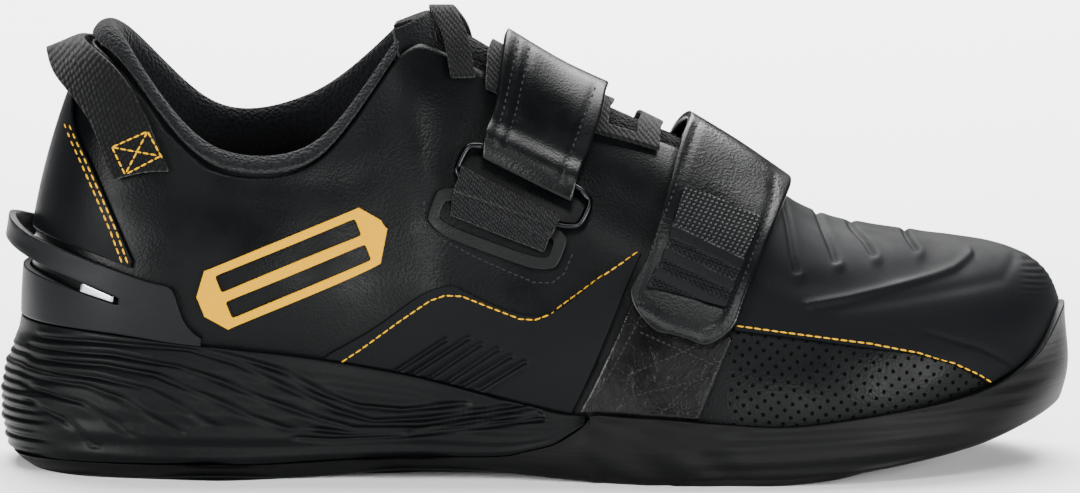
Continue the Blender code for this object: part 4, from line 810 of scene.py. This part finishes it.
yellow_thread = thread("yellow_thread", (0.50, 0.26, 0.003), 0.6)
black_thread = thread("black_thread", (0.0150, 0.0160, 0.0180), 0.5)
BACKSTAY_SEAMS = (
    ((-0.0412, 0.0967), (-0.0358, 0.0867), (-0.0317, 0.0783), (-0.0274, 0.0688), (-0.0229, 0.0570)),
    ((-0.0396, 0.0966), (-0.0345, 0.0872), (-0.0301, 0.0783), (-0.0258, 0.0690), (-0.0213, 0.0570)),
)
ARCH_SEAM = (
    (0.0344, 0.0312), (0.0416, 0.0360), (0.0526, 0.0440), (0.0609, 0.0496), (0.0650, 0.0510),
    (0.0697, 0.0508), (0.0774, 0.0478), (0.0857, 0.0448), (0.0898, 0.0446), (0.0940, 0.0462),
    (0.1077, 0.0562), (0.1188, 0.0634),
)
TOE_SEAM = (
    (0.1450, 0.0438), (0.1618, 0.0414), (0.1820, 0.0385), (0.1954, 0.0356), (0.2055, 0.0322),
    (0.2127, 0.0284), (0.2172, 0.0252),
)
BOX_CORNERS = ((-0.0268, 0.0915), (-0.0170, 0.0958), (-0.0133, 0.0892), (-0.0231, 0.0842))
box_rows = [(BOX_CORNERS[i], BOX_CORNERS[(i + 1) % 4]) for i in range(4)]
box_rows += [(BOX_CORNERS[0], BOX_CORNERS[2]), (BOX_CORNERS[1], BOX_CORNERS[3])]
# Pitch, length and radius of the stitches in each seam.
BACKSTAY_STITCH = (0.0024, 0.0019, 0.00028)
ARCH_STITCH = (0.0023, 0.0019, 0.00025)
TOE_STITCH = (0.0024, 0.0020, 0.00026)
BOX_STITCH = (0.0021, 0.0018, 0.00028)
STRAP_STITCH = (0.0017, 0.0012, 0.00026)
SLOT_STITCH = (0.0018, 0.0013, 0.00028)
PANEL_STITCH = (0.0016, 0.0011, 0.00030)
for side, end in ((-1, "lateral"), (1, "medial")):
    found = stitches((backstay,), BACKSTAY_SEAMS, side, *BACKSTAY_STITCH)
    found += stitches((arch_overlays[end], upper), (ARCH_SEAM,), side, *ARCH_STITCH)
    found += stitches((toe_overlay, upper), (TOE_SEAM,), side, *TOE_STITCH)
    found += stitches((pull_loop,), box_rows, side, *BOX_STITCH)
    sew("yellow_seams_" + end, found, yellow_thread)

SLOT_ROW = (
    (0.0592, 0.0769), (0.0595, 0.0715), (0.0631, 0.0667), (0.0724, 0.0618),
    (0.0815, 0.0578), (0.0895, 0.0546), (0.0945, 0.0545), (0.0980, 0.0572), (0.1000, 0.0620),
)
PANEL_ROWS = (
    ((0.1200, 0.0480), (0.1050, 0.0205)), ((0.1432, 0.0400), (0.1345, 0.0190)),
    ((0.1185, 0.0420), (0.1400, 0.0330)), ((0.1150, 0.0300), (0.1420, 0.0420)),
    ((0.1100, 0.0230), (0.1380, 0.0300)), ((0.1240, 0.0195), (0.1400, 0.0360)),
)
found = stitches((forefoot_strap,), (STRAP_RIM,), -1, *STRAP_STITCH)
found += stitches((ankle_strap,), ANKLE_LINES, -1, *STRAP_STITCH)
found += stitches((slot_frames["lateral"], upper), (SLOT_ROW,), -1, *SLOT_STITCH)
found += stitches((base_panels["lateral"],), PANEL_ROWS, -1, *PANEL_STITCH)
sew("black_seams", found, black_thread)
